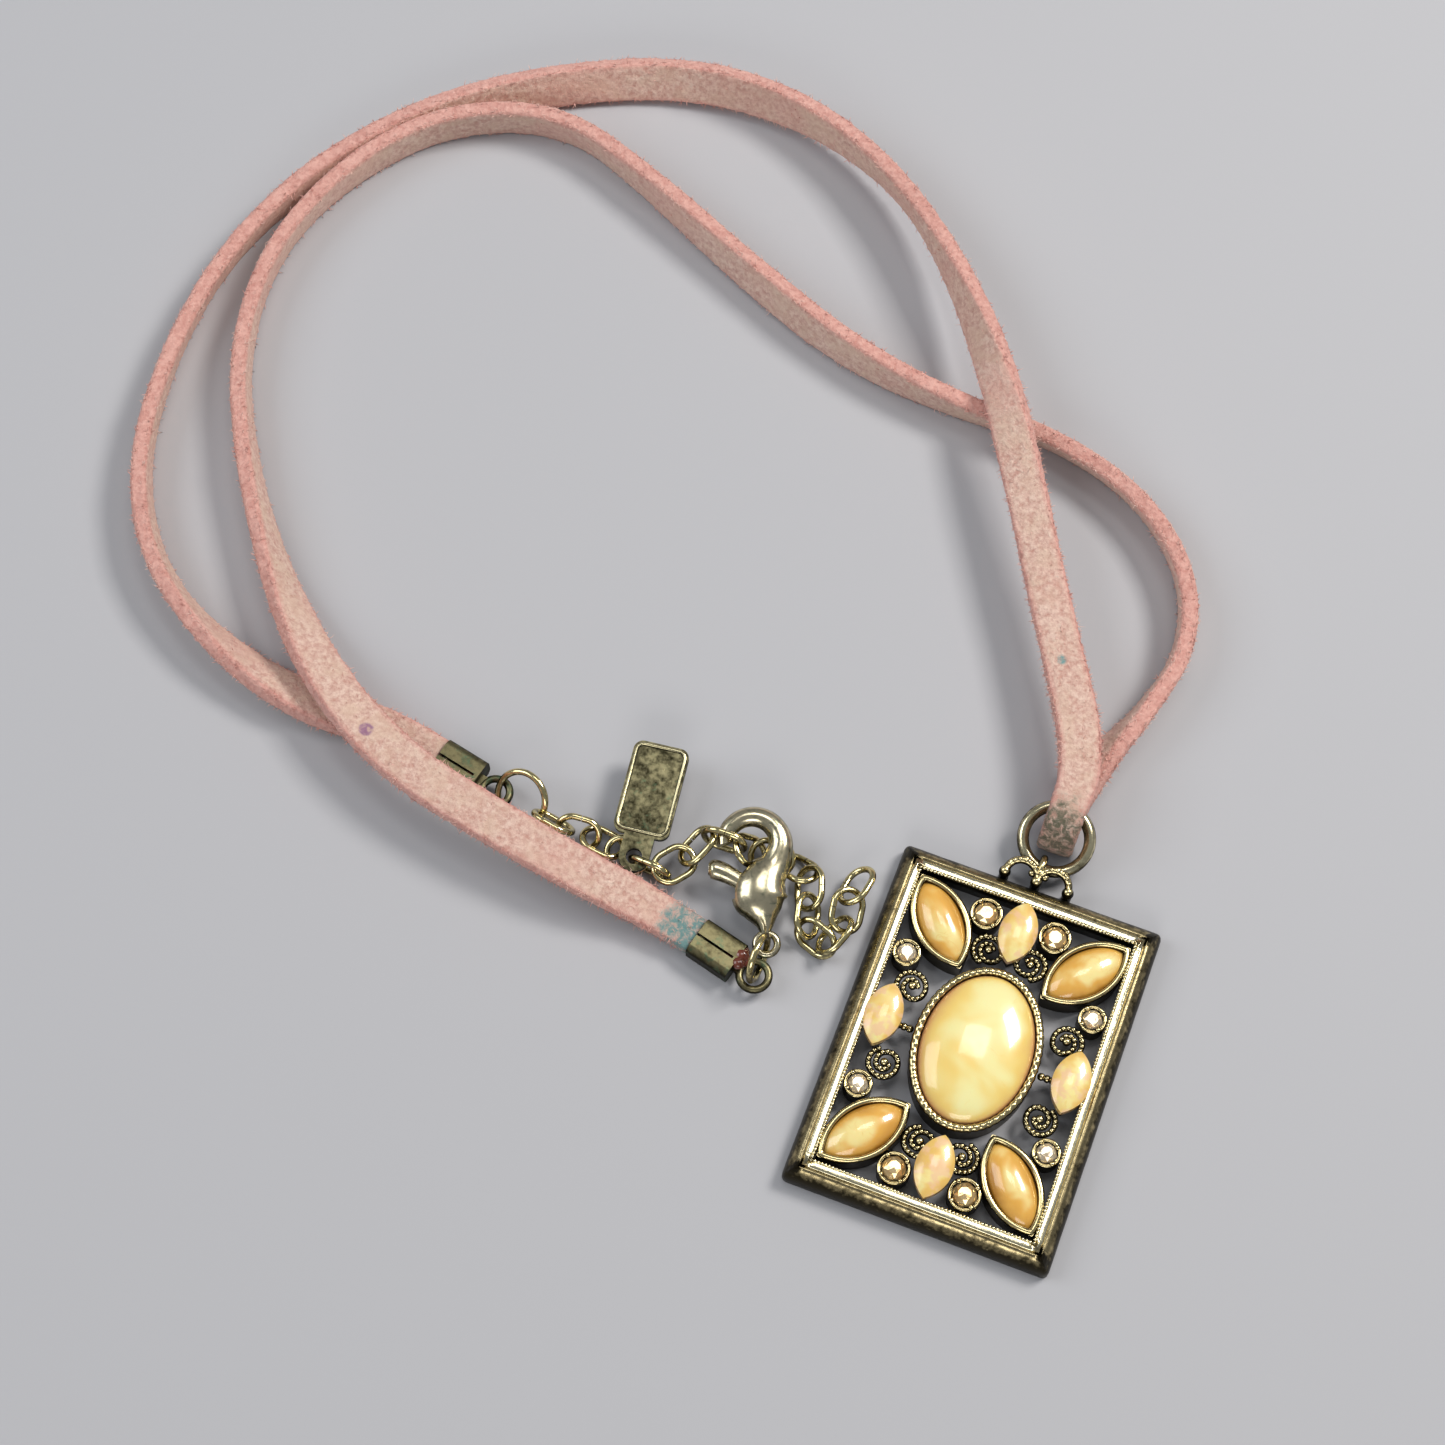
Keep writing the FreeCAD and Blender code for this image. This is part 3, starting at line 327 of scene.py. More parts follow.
def plain(name, colour_a, colour_b, size_mm, roughness, metallic=0.0, coat=0.0):
    n = Nodes(name)
    colour = n.mix(n.ramp(n.noise(size_mm, 4.0, 0.6), 0.35, 0.65), colour_a, colour_b)
    n.bump(n.noise(size_mm * 0.4, 3.0), 0.15, 0.04)
    return n.set(Base_Color=colour, Roughness=roughness, Metallic=metallic, Coat_Weight=coat)


# In every metal below, the share that follows the upward tilt of a face is a painted highlight; the
# noise share is worn finish.
ANTIQUE = metal(
    "antique_brass", (0.58, 0.47, 0.25), (0.03, 0.024, 0.012), bright_cut=0.64, rough=(0.2, 0.42), top_light_share=0.45)
LEDGE = metal(
    "polished_ledge", (1.0, 0.90, 0.60), (0.55, 0.44, 0.20), bright_cut=0.24, rough=(0.14, 0.26), top_light_share=0.6)
DARK_WIRE = metal(
    "dark_filigree", (0.86, 0.72, 0.38), (0.022, 0.018, 0.009), bright_cut=0.66, rough=(0.2, 0.46),
    top_light_share=0.95)
BEZEL = metal(
    "bezel_brass", (0.80, 0.66, 0.34), (0.05, 0.038, 0.018), bright_cut=0.60, rough=(0.16, 0.4), top_light_share=0.7)
CHAIN = metal(
    "chain_brass", (0.86, 0.74, 0.38), (0.10, 0.075, 0.03), bright_cut=0.44, rough=(0.14, 0.34), top_light_share=0.35)
CLASP = metal(
    "clasp_metal", (0.80, 0.71, 0.48), (0.09, 0.075, 0.04), bright_cut=0.44, rough=(0.22, 0.36), top_light_share=0.35,
    green=0.35, pit=0.6)
RING = metal(
    "ring_brass", (0.92, 0.82, 0.52), (0.05, 0.04, 0.02), bright_cut=0.50, rough=(0.16, 0.42), top_light_share=0.35)
CRIMP = metal(
    "crimp_brass", (0.24, 0.21, 0.11), (0.025, 0.022, 0.012), bright_cut=0.62, rough=(0.34, 0.52), top_light_share=0.5,
    green=0.4)
TAG = metal(
    "tag_brass", (0.24, 0.215, 0.12), (0.022, 0.02, 0.01), bright_cut=0.66, rough=(0.26, 0.46), top_light_share=0.35,
    green=0.2)
TAG_RIM = metal(
    "tag_rim", (0.62, 0.56, 0.34), (0.05, 0.045, 0.022), bright_cut=0.50, rough=(0.2, 0.4), top_light_share=0.5)
SUEDE = suede()
FIBRE = plain("suede_fibre", (0.95, 0.66, 0.57), (0.80, 0.42, 0.36), 3.0, 0.9)
# the last colour of each stone below is its painted highlight where it faces up
AMBER = cabochon("amber_pearl", (0.74, 0.36, 0.14), (0.97, 0.70, 0.20), (1.0, 0.93, 0.46), 5.0, 0.6)
PEACH = cabochon("golden_pearl", (0.52, 0.22, 0.03), (0.86, 0.47, 0.09), (1.0, 0.84, 0.36), 3.4, 0.8)
OPAL = cabochon("opal_glitter", (0.66, 0.38, 0.11), (0.90, 0.58, 0.15), (1.0, 0.85, 0.36), 2.0, 0.7,
                blush=(0.94, 0.60, 0.36), rough=0.3)
GOLD_GEM = plain("gold_foil", (1.0, 0.78, 0.42), (0.95, 0.58, 0.22), 0.9, 0.06, metallic=0.7, coat=1.0)
GEM = plain("champagne_foil", (1.0, 0.90, 0.72), (1.0, 0.76, 0.46), 0.9, 0.05, metallic=0.6, coat=1.0)
GLUE = plain("dried_glue", (0.09, 0.018, 0.010), (0.20, 0.045, 0.022), 1.2, 0.22, coat=0.8)
STEEL = plain("spring_steel", (0.45, 0.44, 0.42), (0.30, 0.29, 0.27), 0.6, 0.35, metallic=1.0)


# ------------------------------------------------------------------ camera
SENSOR_MM = 36.0
LENS_MM = 69.20969


def camera():
    """A camera above and in front of the necklace, turned so that the pendant leans to the right."""
    data = bpy.data.cameras.new("camera")
    data.sensor_width = SENSOR_MM
    data.lens = LENS_MM
    data.clip_start = 0.01
    data.clip_end = 10.0
    cam = bpy.data.objects.new("camera", data)
    scene.collection.objects.link(cam)
    right = Vector((0.9342, 0.3567, 0.0))
    up = Vector((-0.3308, 0.8662, 0.3746))
    back = Vector((0.1336, -0.35, 0.9272))
    turn = Matrix((right, up, back)).transposed()
    cam.matrix_world = Matrix.Translation(Vector((2.29, -68.84, 241.07)) * MM) @ turn.to_4x4()
    scene.camera = cam


camera()

# ------------------------------------------------------------------ lace
# x, y, z in mm, the lean of its wide face in degrees, and its width. Positive lean on the left
# strand, and negative on the right strand, lifts the outer edge.
LEFT_STRAND = [
    (-55.5, 9.0, 1.35, 0, 3.6), (-61.5, 10.2, 1.1, 8, 4.0), (-69.5, 9.4, 1.6, 40, 4.1),
    (-79.5, 11.8, 2.05, 74, 4.1), (-88.6, 17.2, 2.1, 86, 4.1), (-94.6, 26.5, 2.1, 99, 4.0),
    (-96.8, 38.5, 2.1, 106, 4.0), (-96.4, 50.5, 2.1, 106, 4.0), (-92.4, 62.0, 2.1, 92, 4.1),
    (-84.5, 72.6, 2.1, 74, 4.2), (-73.5, 81.0, 2.1, 64, 4.2), (-60.5, 86.8, 2.3, 62, 4.2),
    (-47.5, 86.6, 3.0, 88, 4.2), (-36.0, 81.4, 4.2, 102, 4.1), (-27.2, 73.0, 5.4, 76, 3.85),
    (-19.6, 63.0, 6.2, 34, 3.85), (-13.6, 53.0, 5.9, 14, 3.85), (-8.4, 44.0, 5.1, 8, 3.85),
    (-4.0, 36.6, 4.9, 4, 3.85), (-1.0, 31.4, 5.05, 0, 4.0), (0.5, 27.0, 5.15, 0, 3.7),
    (0.5, 24.15, 5.15, 0, 3.4), (0.5, 20.95, 5.15, 0, 3.3),
]
RIGHT_STRAND = [
    (0.5, 20.95, 0.85, 0, 3.3), (0.5, 24.15, 0.85, 0, 3.4), (0.5, 26.8, 1.2, -16, 3.7),
    (1.8, 30.6, 1.95, -56, 4.0), (4.2, 36.4, 2.1, -76, 4.1), (6.0, 43.6, 2.1, -85, 4.1),
    (3.7, 51.4, 2.1, -98, 4.1), (-3.0, 57.6, 2.1, -108, 4.0), (-12.6, 60.6, 2.1, -111, 4.0),
    (-23.5, 60.6, 2.1, -104, 4.0), (-35.0, 62.4, 2.1, -80, 4.1), (-47.5, 67.6, 2.1, -74, 4.2),
    (-59.5, 73.4, 2.1, -86, 4.2), (-70.5, 77.6, 2.1, -100, 4.2), (-81.4, 73.8, 2.1, -92, 4.1),
    (-88.8, 64.6, 2.1, -92, 4.0), (-92.4, 52.8, 2.1, -103, 4.0), (-90.4, 40.6, 2.1, -95, 4.0),
    (-84.4, 29.8, 2.1, -85, 4.0), (-76.8, 20.0, 2.3, -74, 4.1), (-68.0, 11.6, 3.8, -34, 4.2),
    (-58.2, 6.2, 4.4, -8, 4.2), (-47.2, 3.9, 4.4, 0, 4.2), (-38.0, 2.6, 3.4, 0, 4.1),
    (-31.6, 2.3, 1.5, 0, 4.0), (-27.0, 1.3, 1.3, 0, 3.4),
]
LACE_THICK = 1.6
FIBRE_COUNT = 13000
# loose fibres keep clear of the bail ring, which turns in the fold
FOLD_MIDDLE = (0.5, 21.5, 3.0)
BARE_NEAR_FOLD = 6.5
BLADE_FACES = [[0, 1, 2], [0, 3, 4, 1], [1, 4, 5, 2], [2, 5, 3, 0], [3, 6, 4], [4, 6, 5], [5, 6, 3]]


def spline_points(points, per_span):
    """Reads a smooth line back from a NURBS spline whose control points are the route."""
    curve = bpy.data.curves.new("route", "CURVE")
    curve.dimensions = "3D"
    curve.resolution_u = per_span
    spline = curve.splines.new("NURBS")
    spline.points.add(len(points) - 1)
    for item, point in zip(spline.points, points):
        item.co = (point[0] * MM, point[1] * MM, point[2] * MM, 1.0)
    spline.order_u = 3
    spline.use_endpoint_u = True
    holder = bpy.data.objects.new("route", curve)
    scene.collection.objects.link(holder)
    bpy.context.view_layer.update()
    mesh = bpy.data.meshes.new_from_object(holder.evaluated_get(bpy.context.evaluated_depsgraph_get()))
    line = np.array([v.co[:] for v in mesh.vertices]) / MM
    bpy.data.objects.remove(holder)
    bpy.data.meshes.remove(mesh)
    bpy.data.curves.remove(curve)
    return line


def lace():
    points = LEFT_STRAND + RIGHT_STRAND
    line = spline_points(points, 24)
    count = len(line)
    along = np.gradient(line, axis=0)
    along /= np.linalg.norm(along, axis=1)[:, None]
    station = np.linspace(0, len(points) - 1, count)
    keys = np.arange(len(points))
    lean = np.radians(np.interp(station, keys, [p[3] for p in points]))
    width = np.interp(station, keys, [p[4] for p in points])
    kernel = np.hanning(41)
    kernel /= kernel.sum()
    lean = np.convolve(np.pad(lean, 20, mode="edge"), kernel, "valid")
    wide = np.cross((0.0, 0.0, 1.0), along)
    nose = len(LEFT_STRAND) - 0.5
    wide[station > nose] *= -1
    weak = np.linalg.norm(wide, axis=1) < 0.45
    wide[weak] = (1.0, 0.0, 0.0)
    wide /= np.linalg.norm(wide, axis=1)[:, None]
    thin = np.cross(along, wide)
    across = wide * np.cos(lean)[:, None] + thin * np.sin(lean)[:, None]
    normal = np.cross(along, across)
    # the section: a strip with softly rounded edges, walked once round
    section = []
    for corner_x, corner_y, start in ((1, 1, 0), (-1, 1, 90), (-1, -1, 180), (1, -1, 270)):
        for turn in np.radians(np.linspace(start, start + 90, 5)):
            section.append((corner_x, corner_y, math.cos(turn), math.sin(turn)))
        if corner_y == 1 and corner_x == 1:
            section += [(t, 1, 0, 1) for t in (0.6, 0.2, -0.2, -0.6)]
        if corner_y == -1 and corner_x == -1:
            section += [(t, -1, 0, -1) for t in (-0.6, -0.2, 0.2, 0.6)]
    sides = len(section)
    soft = 0.42
    wobble = np.convolve(rng.normal(0, 1, count + 60), np.hanning(31) / 15, "same")[30:-30] * 0.10
    verts = np.zeros((count, sides, 3))
    attrs = np.zeros((count, sides, 4))
    for k, (cx, cy, rx, ry) in enumerate(section):
        half_w = (width + wobble) / 2 - soft
        half_t = LACE_THICK / 2 - soft
        x = cx * half_w + soft * rx
        crown = 0.05 * (1 - min(1.0, abs(cx)) ** 2)
        y = cy * (half_t + crown) + soft * ry
        verts[:, k] = line + across * x[:, None] + normal * y
        attrs[:, k, 0] = 1.0 if abs(ry) < 0.75 and abs(cx) == 1 else (0.5 if abs(cx) == 1 else 0.0)
        attrs[:, k, 1] = np.linspace(0, 1, count)
        attrs[:, k, 2] = 1.0 if cy > 0 else 0.0
        attrs[:, k, 3] = 1.0
    rough = rng.normal(0, 0.035, (count, sides))
    outward = verts - line[:, None]
    outward /= np.linalg.norm(outward, axis=2)[..., None]
    verts += outward * rough[..., None]
    verts = verts.reshape(-1, 3)
    verts[:, 2] = np.maximum(verts[:, 2], 0.02)
    faces = []
    for i in range(count - 1):
        for k in range(sides):
            m = (k + 1) % sides
            faces.append([i * sides + k, i * sides + m, (i + 1) * sides + m, (i + 1) * sides + k])
    faces.append(list(reversed(range(sides))))
    faces.append([(count - 1) * sides + k for k in range(sides)])
    strap = new_piece("lace", verts, faces, SUEDE, "lace_and_cord_ends", ["suede_lace"],
                      attrs=attrs.reshape(-1, 4))
    # loose fibres that stand off the face and thick along the cut edges
    grid = verts.reshape(count, sides, 3)
    edge_walk = [k for k, (cx, cy, rx, ry) in enumerate(section) if abs(ry) < 0.95 and abs(cx) == 1]
    fuzz = Builder()
    for index in range(FIBRE_COUNT):
        i = int(rng.integers(2, count - 2))
        if np.linalg.norm(line[i] - FOLD_MIDDLE) < BARE_NEAR_FOLD:
            continue
        k = int(rng.choice(edge_walk)) if index % 4 else int(rng.integers(0, sides))
        root = grid[i, k] * 0.985 + line[i] * 0.015
        out = grid[i, k] - line[i]
        out /= np.linalg.norm(out)
        lie = along[i] * rng.normal(0, 1.1) + out * rng.uniform(0.25, 0.9) + rng.normal(0, 0.35, 3)
        lie /= np.linalg.norm(lie)
        reach = rng.uniform(0.22, 0.7)
        side = np.cross(lie, out)
        side /= np.linalg.norm(side) + 1e-9
        bend = root + lie * reach * 0.55 + out * 0.03
        tip = root + lie * reach + rng.normal(0, 0.06, 3)
        thick = 0.045
        third = np.cross(lie, side) * thick
        slim = thick * 0.7
        blade = np.array([root - side * thick, root + side * thick, root + third,
                          bend - side * slim, bend + side * slim, bend + third * 0.7, tip])
        blade[:, 2] = np.maximum(blade[:, 2], 0.03)
        fuzz.add(blade, BLADE_FACES)
    fuzz.piece("lace_fibres", FIBRE, "lace_and_cord_ends", "pink_suede")
    length = float(np.linalg.norm(np.diff(line, axis=0), axis=1).sum()) * MM
    print("lace length", round(length, 4), "points", count)


lace()


# ------------------------------------------------------------------ pendant
def frame_ring(name, profile, material, replaces=()):
    """A profile (inset, height) swept round the frame, with mitred and slightly eased corners."""
    eased = 0.55
    stations = []
    for (across, up), start in (((1, 1), 0), ((-1, 1), 90), ((-1, -1), 180), ((1, -1), 270)):
        for turn in np.radians(start + np.linspace(0, 90, 4)):
            row = []
            for inset, z in profile:
                x = across * (12.3 - max(inset, eased)) + max(eased - inset, 0) * math.cos(turn)
                y = up * (16.5 - max(inset, eased)) + max(eased - inset, 0) * math.sin(turn)
                row.append((x, y, z))
            stations.append(np.array(row))
    rows = []
    for index, row in enumerate(stations):
        rows.append(row)
        if index % 4 == 3:
            after = stations[(index + 1) % 16]
            for t in np.linspace(0, 1, 31)[1:-1]:
                dent = rng.normal(0, 0.006, (len(row), 1)) * np.array([[1.0, 1.0, 1.0]])
                dent[np.array([z < 0.05 for _, z in profile])] = 0
                rows.append(row * (1 - t) + after * t + dent)
    size = len(profile)
    faces = []
    for i in range(len(rows)):
        j = (i + 1) % len(rows)
        for k in range(size):
            m = (k + 1) % size
            faces.append([i * size + k, j * size + k, j * size + m, i * size + m])
    new_piece(name, np.vstack(rows), faces, material, "pendant", replaces)


RAIL_PROFILE = [
    (0, 0), (2.1, 0), (2.1, 2.42), (1.34, 2.44), (1.26, 2.53), (1.1, 2.56), (0.86, 2.44), (0.58, 2.2),
    (0.32, 1.86), (0.12, 1.44), (0.02, 1.02), (0, 0.6),
]
FACE_PROFILE = [
    (1.36, 2.3), (2.1, 2.3), (2.1, 2.52), (2.0, 2.59), (1.86, 2.6), (1.6, 2.6), (1.44, 2.58),
    (1.36, 2.5),
]


def pendant():
    """The frame's rails and bright face, its beaded inner edge, and the rolled lips of the cups."""
    frame_ring("frame_rails", RAIL_PROFILE, ANTIQUE, ["pendant_frame"])
    frame_ring("frame_face", FACE_PROFILE, LEDGE)
    # beaded inner edge of the ledge
    edge = Builder()
    inner_x, inner_y, top = 10.22, 14.42, 2.56
    corners = [(-inner_x, -inner_y, top), (inner_x, -inner_y, top),
               (inner_x, inner_y, top), (-inner_x, inner_y, top)]
    for start, stop in zip(corners, corners[1:] + corners[:1]):
        edge.beads([start, stop], 0.19, 0.33)
    edge.piece("ledge_beads", LEDGE, "pendant", "antique_brass")
    # rolled lip of the oval cup, lightly notched
    lip = Builder()
    path = oval(5.0 + 0.36, 7.0 + 0.36, 2.9, 240)
    notch = 0.37 + 0.035 * np.cos(np.linspace(0, 2 * math.pi * 60, 240, endpoint=False))
    lip.tube(path, notch, 12, closed=True)
    lip.piece("oval_lip", BEZEL, "pendant", "antique_brass")
    for label, (across, up) in QUARTERS.items():
        rim = Builder()
        outline = marquise(8.0 + 0.75, 4.0 + 0.62, 2.4, 40)
        outline = placed(outline, across * 6.85, up * 10.25, -across * up * 40)
        rim.tube(outline, 0.30, 10, closed=True)
        rim.piece(f"corner_lip_{label}", BEZEL, "pendant", "antique_brass")


def filigree():
    """Beaded spirals, mirrored into the frame's four quarters."""
    spiral = np.vstack([arc((0.0, 0.0), 1.32, -75, 180, 0), arc((-0.34, 0.0), 0.98, 180, 360, 0),
                        arc((0.03, 0.0), 0.61, 0, 150, 0)])
    for label, (across, up) in QUARTERS.items():
        for kind, (x, y), turn in (("end", (2.05, 9.35), 0), ("side", (7.35, 3.75), 20)):
            wire = Builder()
            path = placed(spiral, 0, 0, turn)
            level = np.full(len(path), 1.85)
            path = np.stack([across * (x + path[:, 0]), up * (y + path[:, 1]), level], axis=1)
            wire.beads(path, 0.27, 0.44)
            low = path.copy()
            low[:, 2] = 1.6
            wire.tube(low, 0.27, 8)
            wire.ball((across * (x - 0.1), up * y, 1.95), 0.40)
            wire.piece(f"{kind}_curl_{label}", DARK_WIRE, "pendant", "antique_brass",
                       [f"{kind}_scroll_{label}"])


def gems():
    """Round stones with a table, eight crown facets and a notched girdle."""
    for size, radius, (x, y) in (("large", 1.2, (3.25, 12.45)), ("small", 1.0, (8.75, 6.45))):
        stones = Builder()
        claws = Builder()
        for label, (across, up) in QUARTERS.items():
            cx, cy = across * x, up * y
            verts = [(0, 0, 2.62)]
            rings = ((0.50, 2.60, 0), (0.80, 2.36, 22.5), (1.0, 2.02, 0), (1.0, 1.9, 0), (0.3, 1.15, 0))
            for reach, z, turn in rings:
                for k in range(8):
                    a = math.radians(45 * k + turn)
                    verts.append((reach * radius * math.cos(a), reach * radius * math.sin(a), z))
            faces = [[0, 1 + k, 1 + (k + 1) % 8] for k in range(8)]
            for k in range(8):
                m = (k + 1) % 8
                faces += [[1 + k, 9 + k, 1 + m], [9 + k, 17 + m, 9 + m]]
                faces += [[9 + k, 17 + k, 17 + m], [9 + k, 9 + m, 1 + m]]
                faces += [[17 + k, 25 + k, 25 + m, 17 + m], [25 + k, 33 + k, 33 + m, 25 + m]]
            faces.append([33 + k for k in reversed(range(8))])
            stones.add(np.array(verts) + (cx, cy, 0), faces)
            for k in range(4):
                a = math.radians(45 + 90 * k)
                out = radius + 0.08
                claws.ball((cx + out * math.cos(a), cy + out * math.sin(a), 2.2), 0.27)
            claws.tube(arc((cx, cy), radius + 0.17, 0, 352.5, 2.16, 48), 0.16, 8, closed=True)
        foil = GOLD_GEM if size == "large" else GEM
        stones.piece(f"{size}_gems", foil, "pendant", "champagne_glass", [f"{size}_rhinestones"],
                     smooth=False)
        claws.piece(f"{size}_claws", BEZEL, "pendant", "antique_brass")


# ------------------------------------------------------------------ clasp
def clasp_frame(points):
    """From the clasp's own millimetres, its eye at 0 and its hook along +x, into the row frame."""
    heading, lift = math.radians(112.0), math.radians(9.0)
    level = math.cos(lift)
    along = np.array([math.cos(heading) * level, math.sin(heading) * level, math.sin(lift)])
    thumb = np.array([-math.sin(heading), math.cos(heading), 0.0])
    points = np.asarray(points, float)
    return (np.array([-20.85, 2.87, 1.55]) + points[:, :1] * along + points[:, 1:2] * thumb
            + points[:, 2:3] * np.cross(along, thumb))


def smooth_rows(keys, count):
    """Runs smooth curves through the rows of keys and reads them at even steps."""
    keys = np.asarray(keys, float)
    steps = np.linspace(0, len(keys) - 1, count)
    padded = np.vstack([2 * keys[0] - keys[1], keys, 2 * keys[-1] - keys[-2]])
    rows = []
    for step in steps:
        i = min(int(step), len(keys) - 2)
        t = step - i
        p0, p1, p2, p3 = padded[i:i + 4]
        rows.append(0.5 * (2 * p1 + (p2 - p0) * t + (2 * p0 - 5 * p1 + 4 * p2 - p3) * t * t
                           + (3 * p1 - p0 - 3 * p2 + p3) * t ** 3))
    return np.array(rows)


def turned(centre, radius, angles):
    """Points at the given angles, in degrees, on a circle in the clasp's own plane."""
    turns = [math.radians(angle) for angle in angles]
    return [(centre[0] + radius * math.cos(t), centre[1] + radius * math.sin(t)) for t in turns]


def oval_ring(radius, count):
    return [np.array([radius * math.cos(t), radius * math.sin(t), 0.0])
            for t in np.linspace(0, 2 * math.pi, count, endpoint=False)]


HOOK_CENTRE = (9.15, 1.05)
LEVER_PIVOT = (5.1, 1.25)
DOME_STEPS = (0.97, 0.8, 0.5, 0.15)


def clasp():
    """A rounded body that thins into a hook, its slot, the eye at its foot and the lever's tab."""
    hook = turned(HOOK_CENTRE, 2.55, range(-95, 109, 29))
    keys = [(1.1, 0.1, 0.50, 0.50), (1.9, 0.12, 0.95, 0.85), (2.9, 0.3, 1.78, 1.38),
            (4.0, 0.52, 2.46, 1.70), (5.1, 0.42, 2.48, 1.70), (6.2, -0.10, 2.04, 1.50),
            (7.3, -0.88, 1.44, 1.20)]
    for (x, y), thick in zip(hook, (1.14, 1.04, 0.98, 0.93, 0.88, 0.84, 0.8, 0.74)):
        keys.append((x, y, thick, thick))
    rows = smooth_rows(keys, 120)
    spine, wide, thick = rows[:, :2], rows[:, 2], rows[:, 3]
    along = np.gradient(spine, axis=0)
    along /= np.linalg.norm(along, axis=1)[:, None]
    side = np.stack([-along[:, 1], along[:, 0]], axis=1)

    def dome(index, sign, k):
        """A section of the rounded end, past the spine's own end and smaller by k."""
        reach = math.sqrt(1 - k * k) * wide[index]
        return spine[index] + sign * along[index] * reach, side[index], wide[index] * k, thick[index] * k

    sections = [dome(0, -1, k) for k in reversed(DOME_STEPS)]
    sections += list(zip(spine, side, wide, thick))
    sections += [dome(len(spine) - 1, 1, k) for k in DOME_STEPS]
    sides = 28
    verts = []
    for centre, across, half_wide, half_thick in sections:
        for turn in np.linspace(0, 2 * math.pi, sides, endpoint=False):
            x, y = centre + across * half_wide * math.cos(turn)
            verts.append((x, y, half_thick * math.sin(turn)))
    faces = []
    for i in range(len(sections) - 1):
        for k in range(sides):
            m = (k + 1) % sides
            faces.append([i * sides + k, (i + 1) * sides + k, (i + 1) * sides + m, i * sides + m])
    faces.append(list(range(sides)))
    faces.append([(len(sections) - 1) * sides + k for k in range(sides)][::-1])
    body = new_piece("clasp_shell", clasp_frame(verts), faces, CLASP, "clasp",
                     ["clasp_body"])
    # the slot the lever swings in
    outline = turned(LEVER_PIVOT, 1.08, range(150, 331, 20))
    outline += [(9.6, 1.6), (9.0, 4.4), (7.6, 6.2), (3.9, 6.2)]
    half = 0.82
    slot_verts = [(x, y, -half) for x, y in outline] + [(x, y, half) for x, y in outline]
    size = len(outline)
    slot_faces = [list(reversed(range(size))), list(range(size, 2 * size))]
    slot_faces += [[k, (k + 1) % size, size + (k + 1) % size, size + k] for k in range(size)]
    mesh = bpy.data.meshes.new("slot")
    mesh.from_pydata([tuple(v) for v in clasp_frame(slot_verts) * MM], [], slot_faces)
    cutter = bpy.data.objects.new("slot", mesh)
    scene.collection.objects.link(cutter)
    modifier = body.modifiers.new("slot", "BOOLEAN")
    modifier.operation = "DIFFERENCE"
    modifier.solver = "EXACT"
    modifier.object = cutter
    bpy.context.view_layer.update()
    result = bpy.data.meshes.new_from_object(body.evaluated_get(bpy.context.evaluated_depsgraph_get()))
    body.modifiers.clear()
    old = body.data
    body.data = result
    result.name = "clasp_shell"
    result.set_sharp_from_angle(angle=0.8)
    bpy.data.objects.remove(cutter)
    bpy.data.meshes.remove(old)
    eye = Builder()
    eye.tube(clasp_frame(np.stack(oval_ring(0.98, 48), axis=0)), 0.33, 12, closed=True)
    eye.piece("clasp_eye_wire", CLASP, "clasp", "pale_brass")
    lever = Builder()
    rows = smooth_rows([(*LEVER_PIVOT, 0.80), (5.75, 2.25, 0.78), (6.3, 3.15, 0.84), (6.7, 3.95, 0.92),
                        (6.95, 4.7, 0.90), (7.0, 5.1, 0.55)], 36)
    path = clasp_frame(np.column_stack([rows[:, :2], np.zeros(len(rows))]))
    upright = clasp_frame([(0, 0, 1)])[0] - clasp_frame([(0, 0, 0)])[0]
    lever.tube(path, rows[:, 2], 16, up=upright, flat=0.84)
    lever.piece("clasp_tab", CLASP, "clasp_lever", "pale_brass", ["clasp_lever"])


def tag():
    """A raised rim round the blank tag."""
    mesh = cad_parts["blank_tag"].data
    upper = {i for face in mesh.polygons if face.normal.z > 0.8 for i in face.vertices}
    points = np.array([mesh.vertices[i].co[:] for i in sorted(upper)]) / MM
    hole, heading = np.array([-34.9, 6.05]), math.radians(97.0)
    ahead = np.array([math.cos(heading), math.sin(heading)])
    aside = np.array([-math.sin(heading), math.cos(heading)])
    u = (points[:, :2] - hole) @ ahead
    v = (points[:, :2] - hole) @ aside
    height, *_ = np.linalg.lstsq(np.column_stack([np.ones(len(u)), u, v]), points[:, 2], rcond=None)
    wide = np.abs(v) > 0.9 * np.abs(v).max()
    start = u[wide].min() + 0.1
    stop = u.max() - 0.3
    half = np.abs(v).max() - 0.3
    ease = 0.7
    ring = []
    for end_u, end_v, begin in ((stop, half, 0), (start, half, 90),
                                (start, -half, 180), (stop, -half, 270)):
        cu = end_u - math.copysign(ease, end_u - (start + stop) / 2)
        cv = end_v - math.copysign(ease, end_v)
        for turn in np.radians(np.linspace(begin, begin + 90, 6)):
            pu, pv = cu + ease * math.cos(turn), cv + ease * math.sin(turn)
            x, y = hole + ahead * pu + aside * pv
            ring.append((x, y, height[0] + height[1] * pu + height[2] * pv + 0.02))
    rim = Builder()
    rim.tube(ring, 0.19, 8, closed=True)
    rim.piece("tag_rim", TAG_RIM, "blank_tag", "bright_brass")


CROWN_BEADS = (
    (-3.0, 16.98, 2.15, 0.5), (0.0, 16.98, 2.15, 0.55), (3.0, 16.98, 2.15, 0.5), (0.0, 17.75, 2.5, 0.42),
    (-0.62, 17.5, 2.35, 0.36), (0.62, 17.5, 2.35, 0.36), (-1.5, 18.3, 3.1, 0.36), (1.5, 18.3, 3.1, 0.36),
)


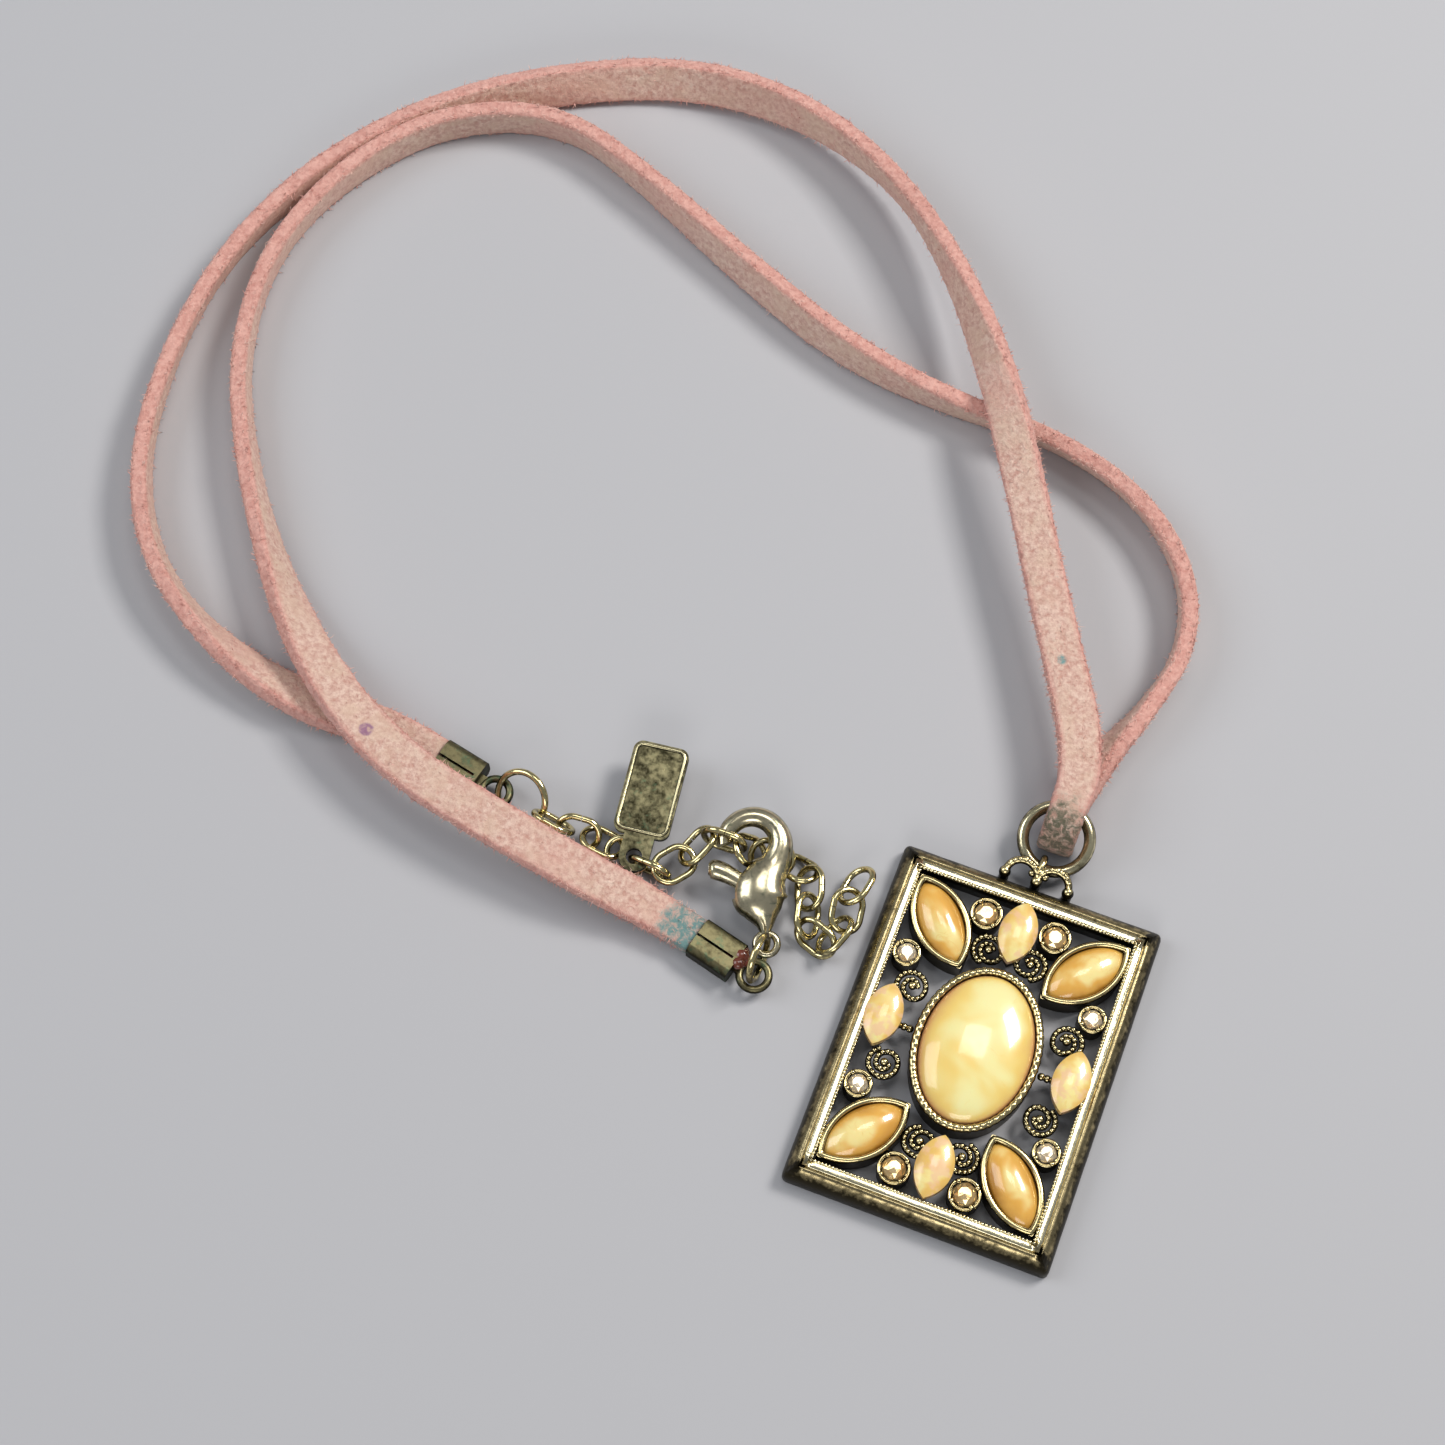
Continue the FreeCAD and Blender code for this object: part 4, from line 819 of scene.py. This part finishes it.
def crown():
    """Beads strung over the crown's arches and a small cluster where they meet."""
    wire = Builder()
    slope = math.radians(38.0)
    for x in (-1.5, 1.5):
        turn = np.radians(np.linspace(4, 176, 40))
        path = np.stack([x + 1.45 * np.cos(turn), 17.08 + 1.45 * np.sin(turn) * math.cos(slope),
                         2.1 + 1.45 * np.sin(turn) * math.sin(slope) + 0.22], axis=1)
        wire.beads(path, 0.27, 0.46)
    for x, y, z, size in CROWN_BEADS:
        wire.ball((x, y, z), size)
    wire.piece("crown_beads", DARK_WIRE, "pendant", "antique_brass")


def glue():
    """Dried glue squeezed out at the right cord end, and the smear beside its eye."""
    blob = Builder()
    heading = math.radians(-14.0)
    for x, y, z, size in ((4.35, 0.7, 0.85, 0.75), (4.55, -0.1, 1.0, 0.62), (4.3, 1.25, 0.35, 0.5),
                          (4.75, 0.45, 0.55, 0.6)):
        px = -26.9 + x * math.cos(heading) - y * math.sin(heading)
        py = 1.28 + x * math.sin(heading) + y * math.cos(heading)
        blob.ball((px, py, 1.3 + z), size, stretch=(1.0, 1.0, 0.7))
    blob.piece("glue_smear", GLUE, "lace_and_cord_ends", "brown_glue")


pendant()
filigree()
gems()
clasp()
tag()
crown()
glue()

# ------------------------------------------------------------------ finishes of the CAD parts
FINISH = {
    "pendant_frame": ANTIQUE, "oval_bezel": BEZEL, "oval_cabochon": AMBER, "navette_seats": DARK_WIRE,
    "large_rhinestone_cups": BEZEL, "small_rhinestone_cups": BEZEL, "bead_links": BEZEL,
    "bail_crown": DARK_WIRE,
    "bail_ring": RING, "cord_end_left": CRIMP, "cord_end_right": CRIMP, "glue_drops": GLUE,
    "jump_ring_left": CHAIN, "jump_ring_clasp": CHAIN, "hooked_link": CHAIN, "end_link": CHAIN,
    "blank_tag": TAG,
    "clasp_body": CLASP, "clasp_lever": CLASP, "clasp_pin": CLASP, "clasp_spring": STEEL,
    "large_rhinestones": GEM, "small_rhinestones": GEM, "suede_lace": SUEDE,
}
for node_name, node_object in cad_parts.items():
    finish = FINISH.get(node_name)
    if finish is None:
        if node_name.startswith("corner_bezel"):
            finish = BEZEL
        elif node_name.startswith("corner_cabochon"):
            finish = PEACH
        elif node_name.startswith("navette_"):
            finish = OPAL
        elif "scroll" in node_name:
            finish = DARK_WIRE
        else:
            finish = CHAIN
    for index in range(len(node_object.material_slots)):
        node_object.material_slots[index].material = finish

# ------------------------------------------------------------------ stage and lights
def stage():
    n = Nodes("floor")
    material = n.set(Base_Color=(0.50, 0.50, 0.52), Roughness=0.9, Specular_IOR_Level=0.1)
    half, level = 1500, -0.02
    verts = [(-half, -half, level), (half, -half, level), (half, half, level), (-half, half, level)]
    floor = new_piece("floor", verts, [[0, 1, 2, 3]], material, None, smooth=False)
    world = bpy.data.worlds.new("world")
    world.use_nodes = True
    scene.world = world
    tree = world.node_tree
    sky = tree.nodes["Background"]
    sky.inputs["Color"].default_value = (0.80, 0.84, 0.90, 1.0)
    sky.inputs["Strength"].default_value = 0.24

    def light(name, place, target, size, power, tint=(1, 1, 1)):
        data = bpy.data.lights.new(name, "AREA")
        data.shape = "RECTANGLE"
        data.size, data.size_y = size
        data.energy = power
        data.color = tint
        lamp = bpy.data.objects.new(name, data)
        scene.collection.objects.link(lamp)
        lamp.location = Vector(place)
        lamp.rotation_mode = "QUATERNION"
        lamp.rotation_quaternion = (Vector(target) - Vector(place)).to_track_quat("-Z", "Y")

    middle = (-0.03, 0.03, 0.0)
    light("key", (0.22, 0.30, 0.42), middle, (0.20, 0.15), 2.1, (1.0, 0.97, 0.93))
    light("fill", (-0.40, -0.05, 0.36), middle, (0.30, 0.30), 0.8, (0.93, 0.96, 1.0))
    light("front", (0.10, -0.42, 0.30), middle, (0.30, 0.18), 0.55, (1.0, 0.98, 0.95))
    light("top", (-0.04, 0.18, 0.57), middle, (0.22, 0.15), 0.42, (1.0, 0.99, 0.96))
    scene.view_settings.view_transform = "Standard"


stage()
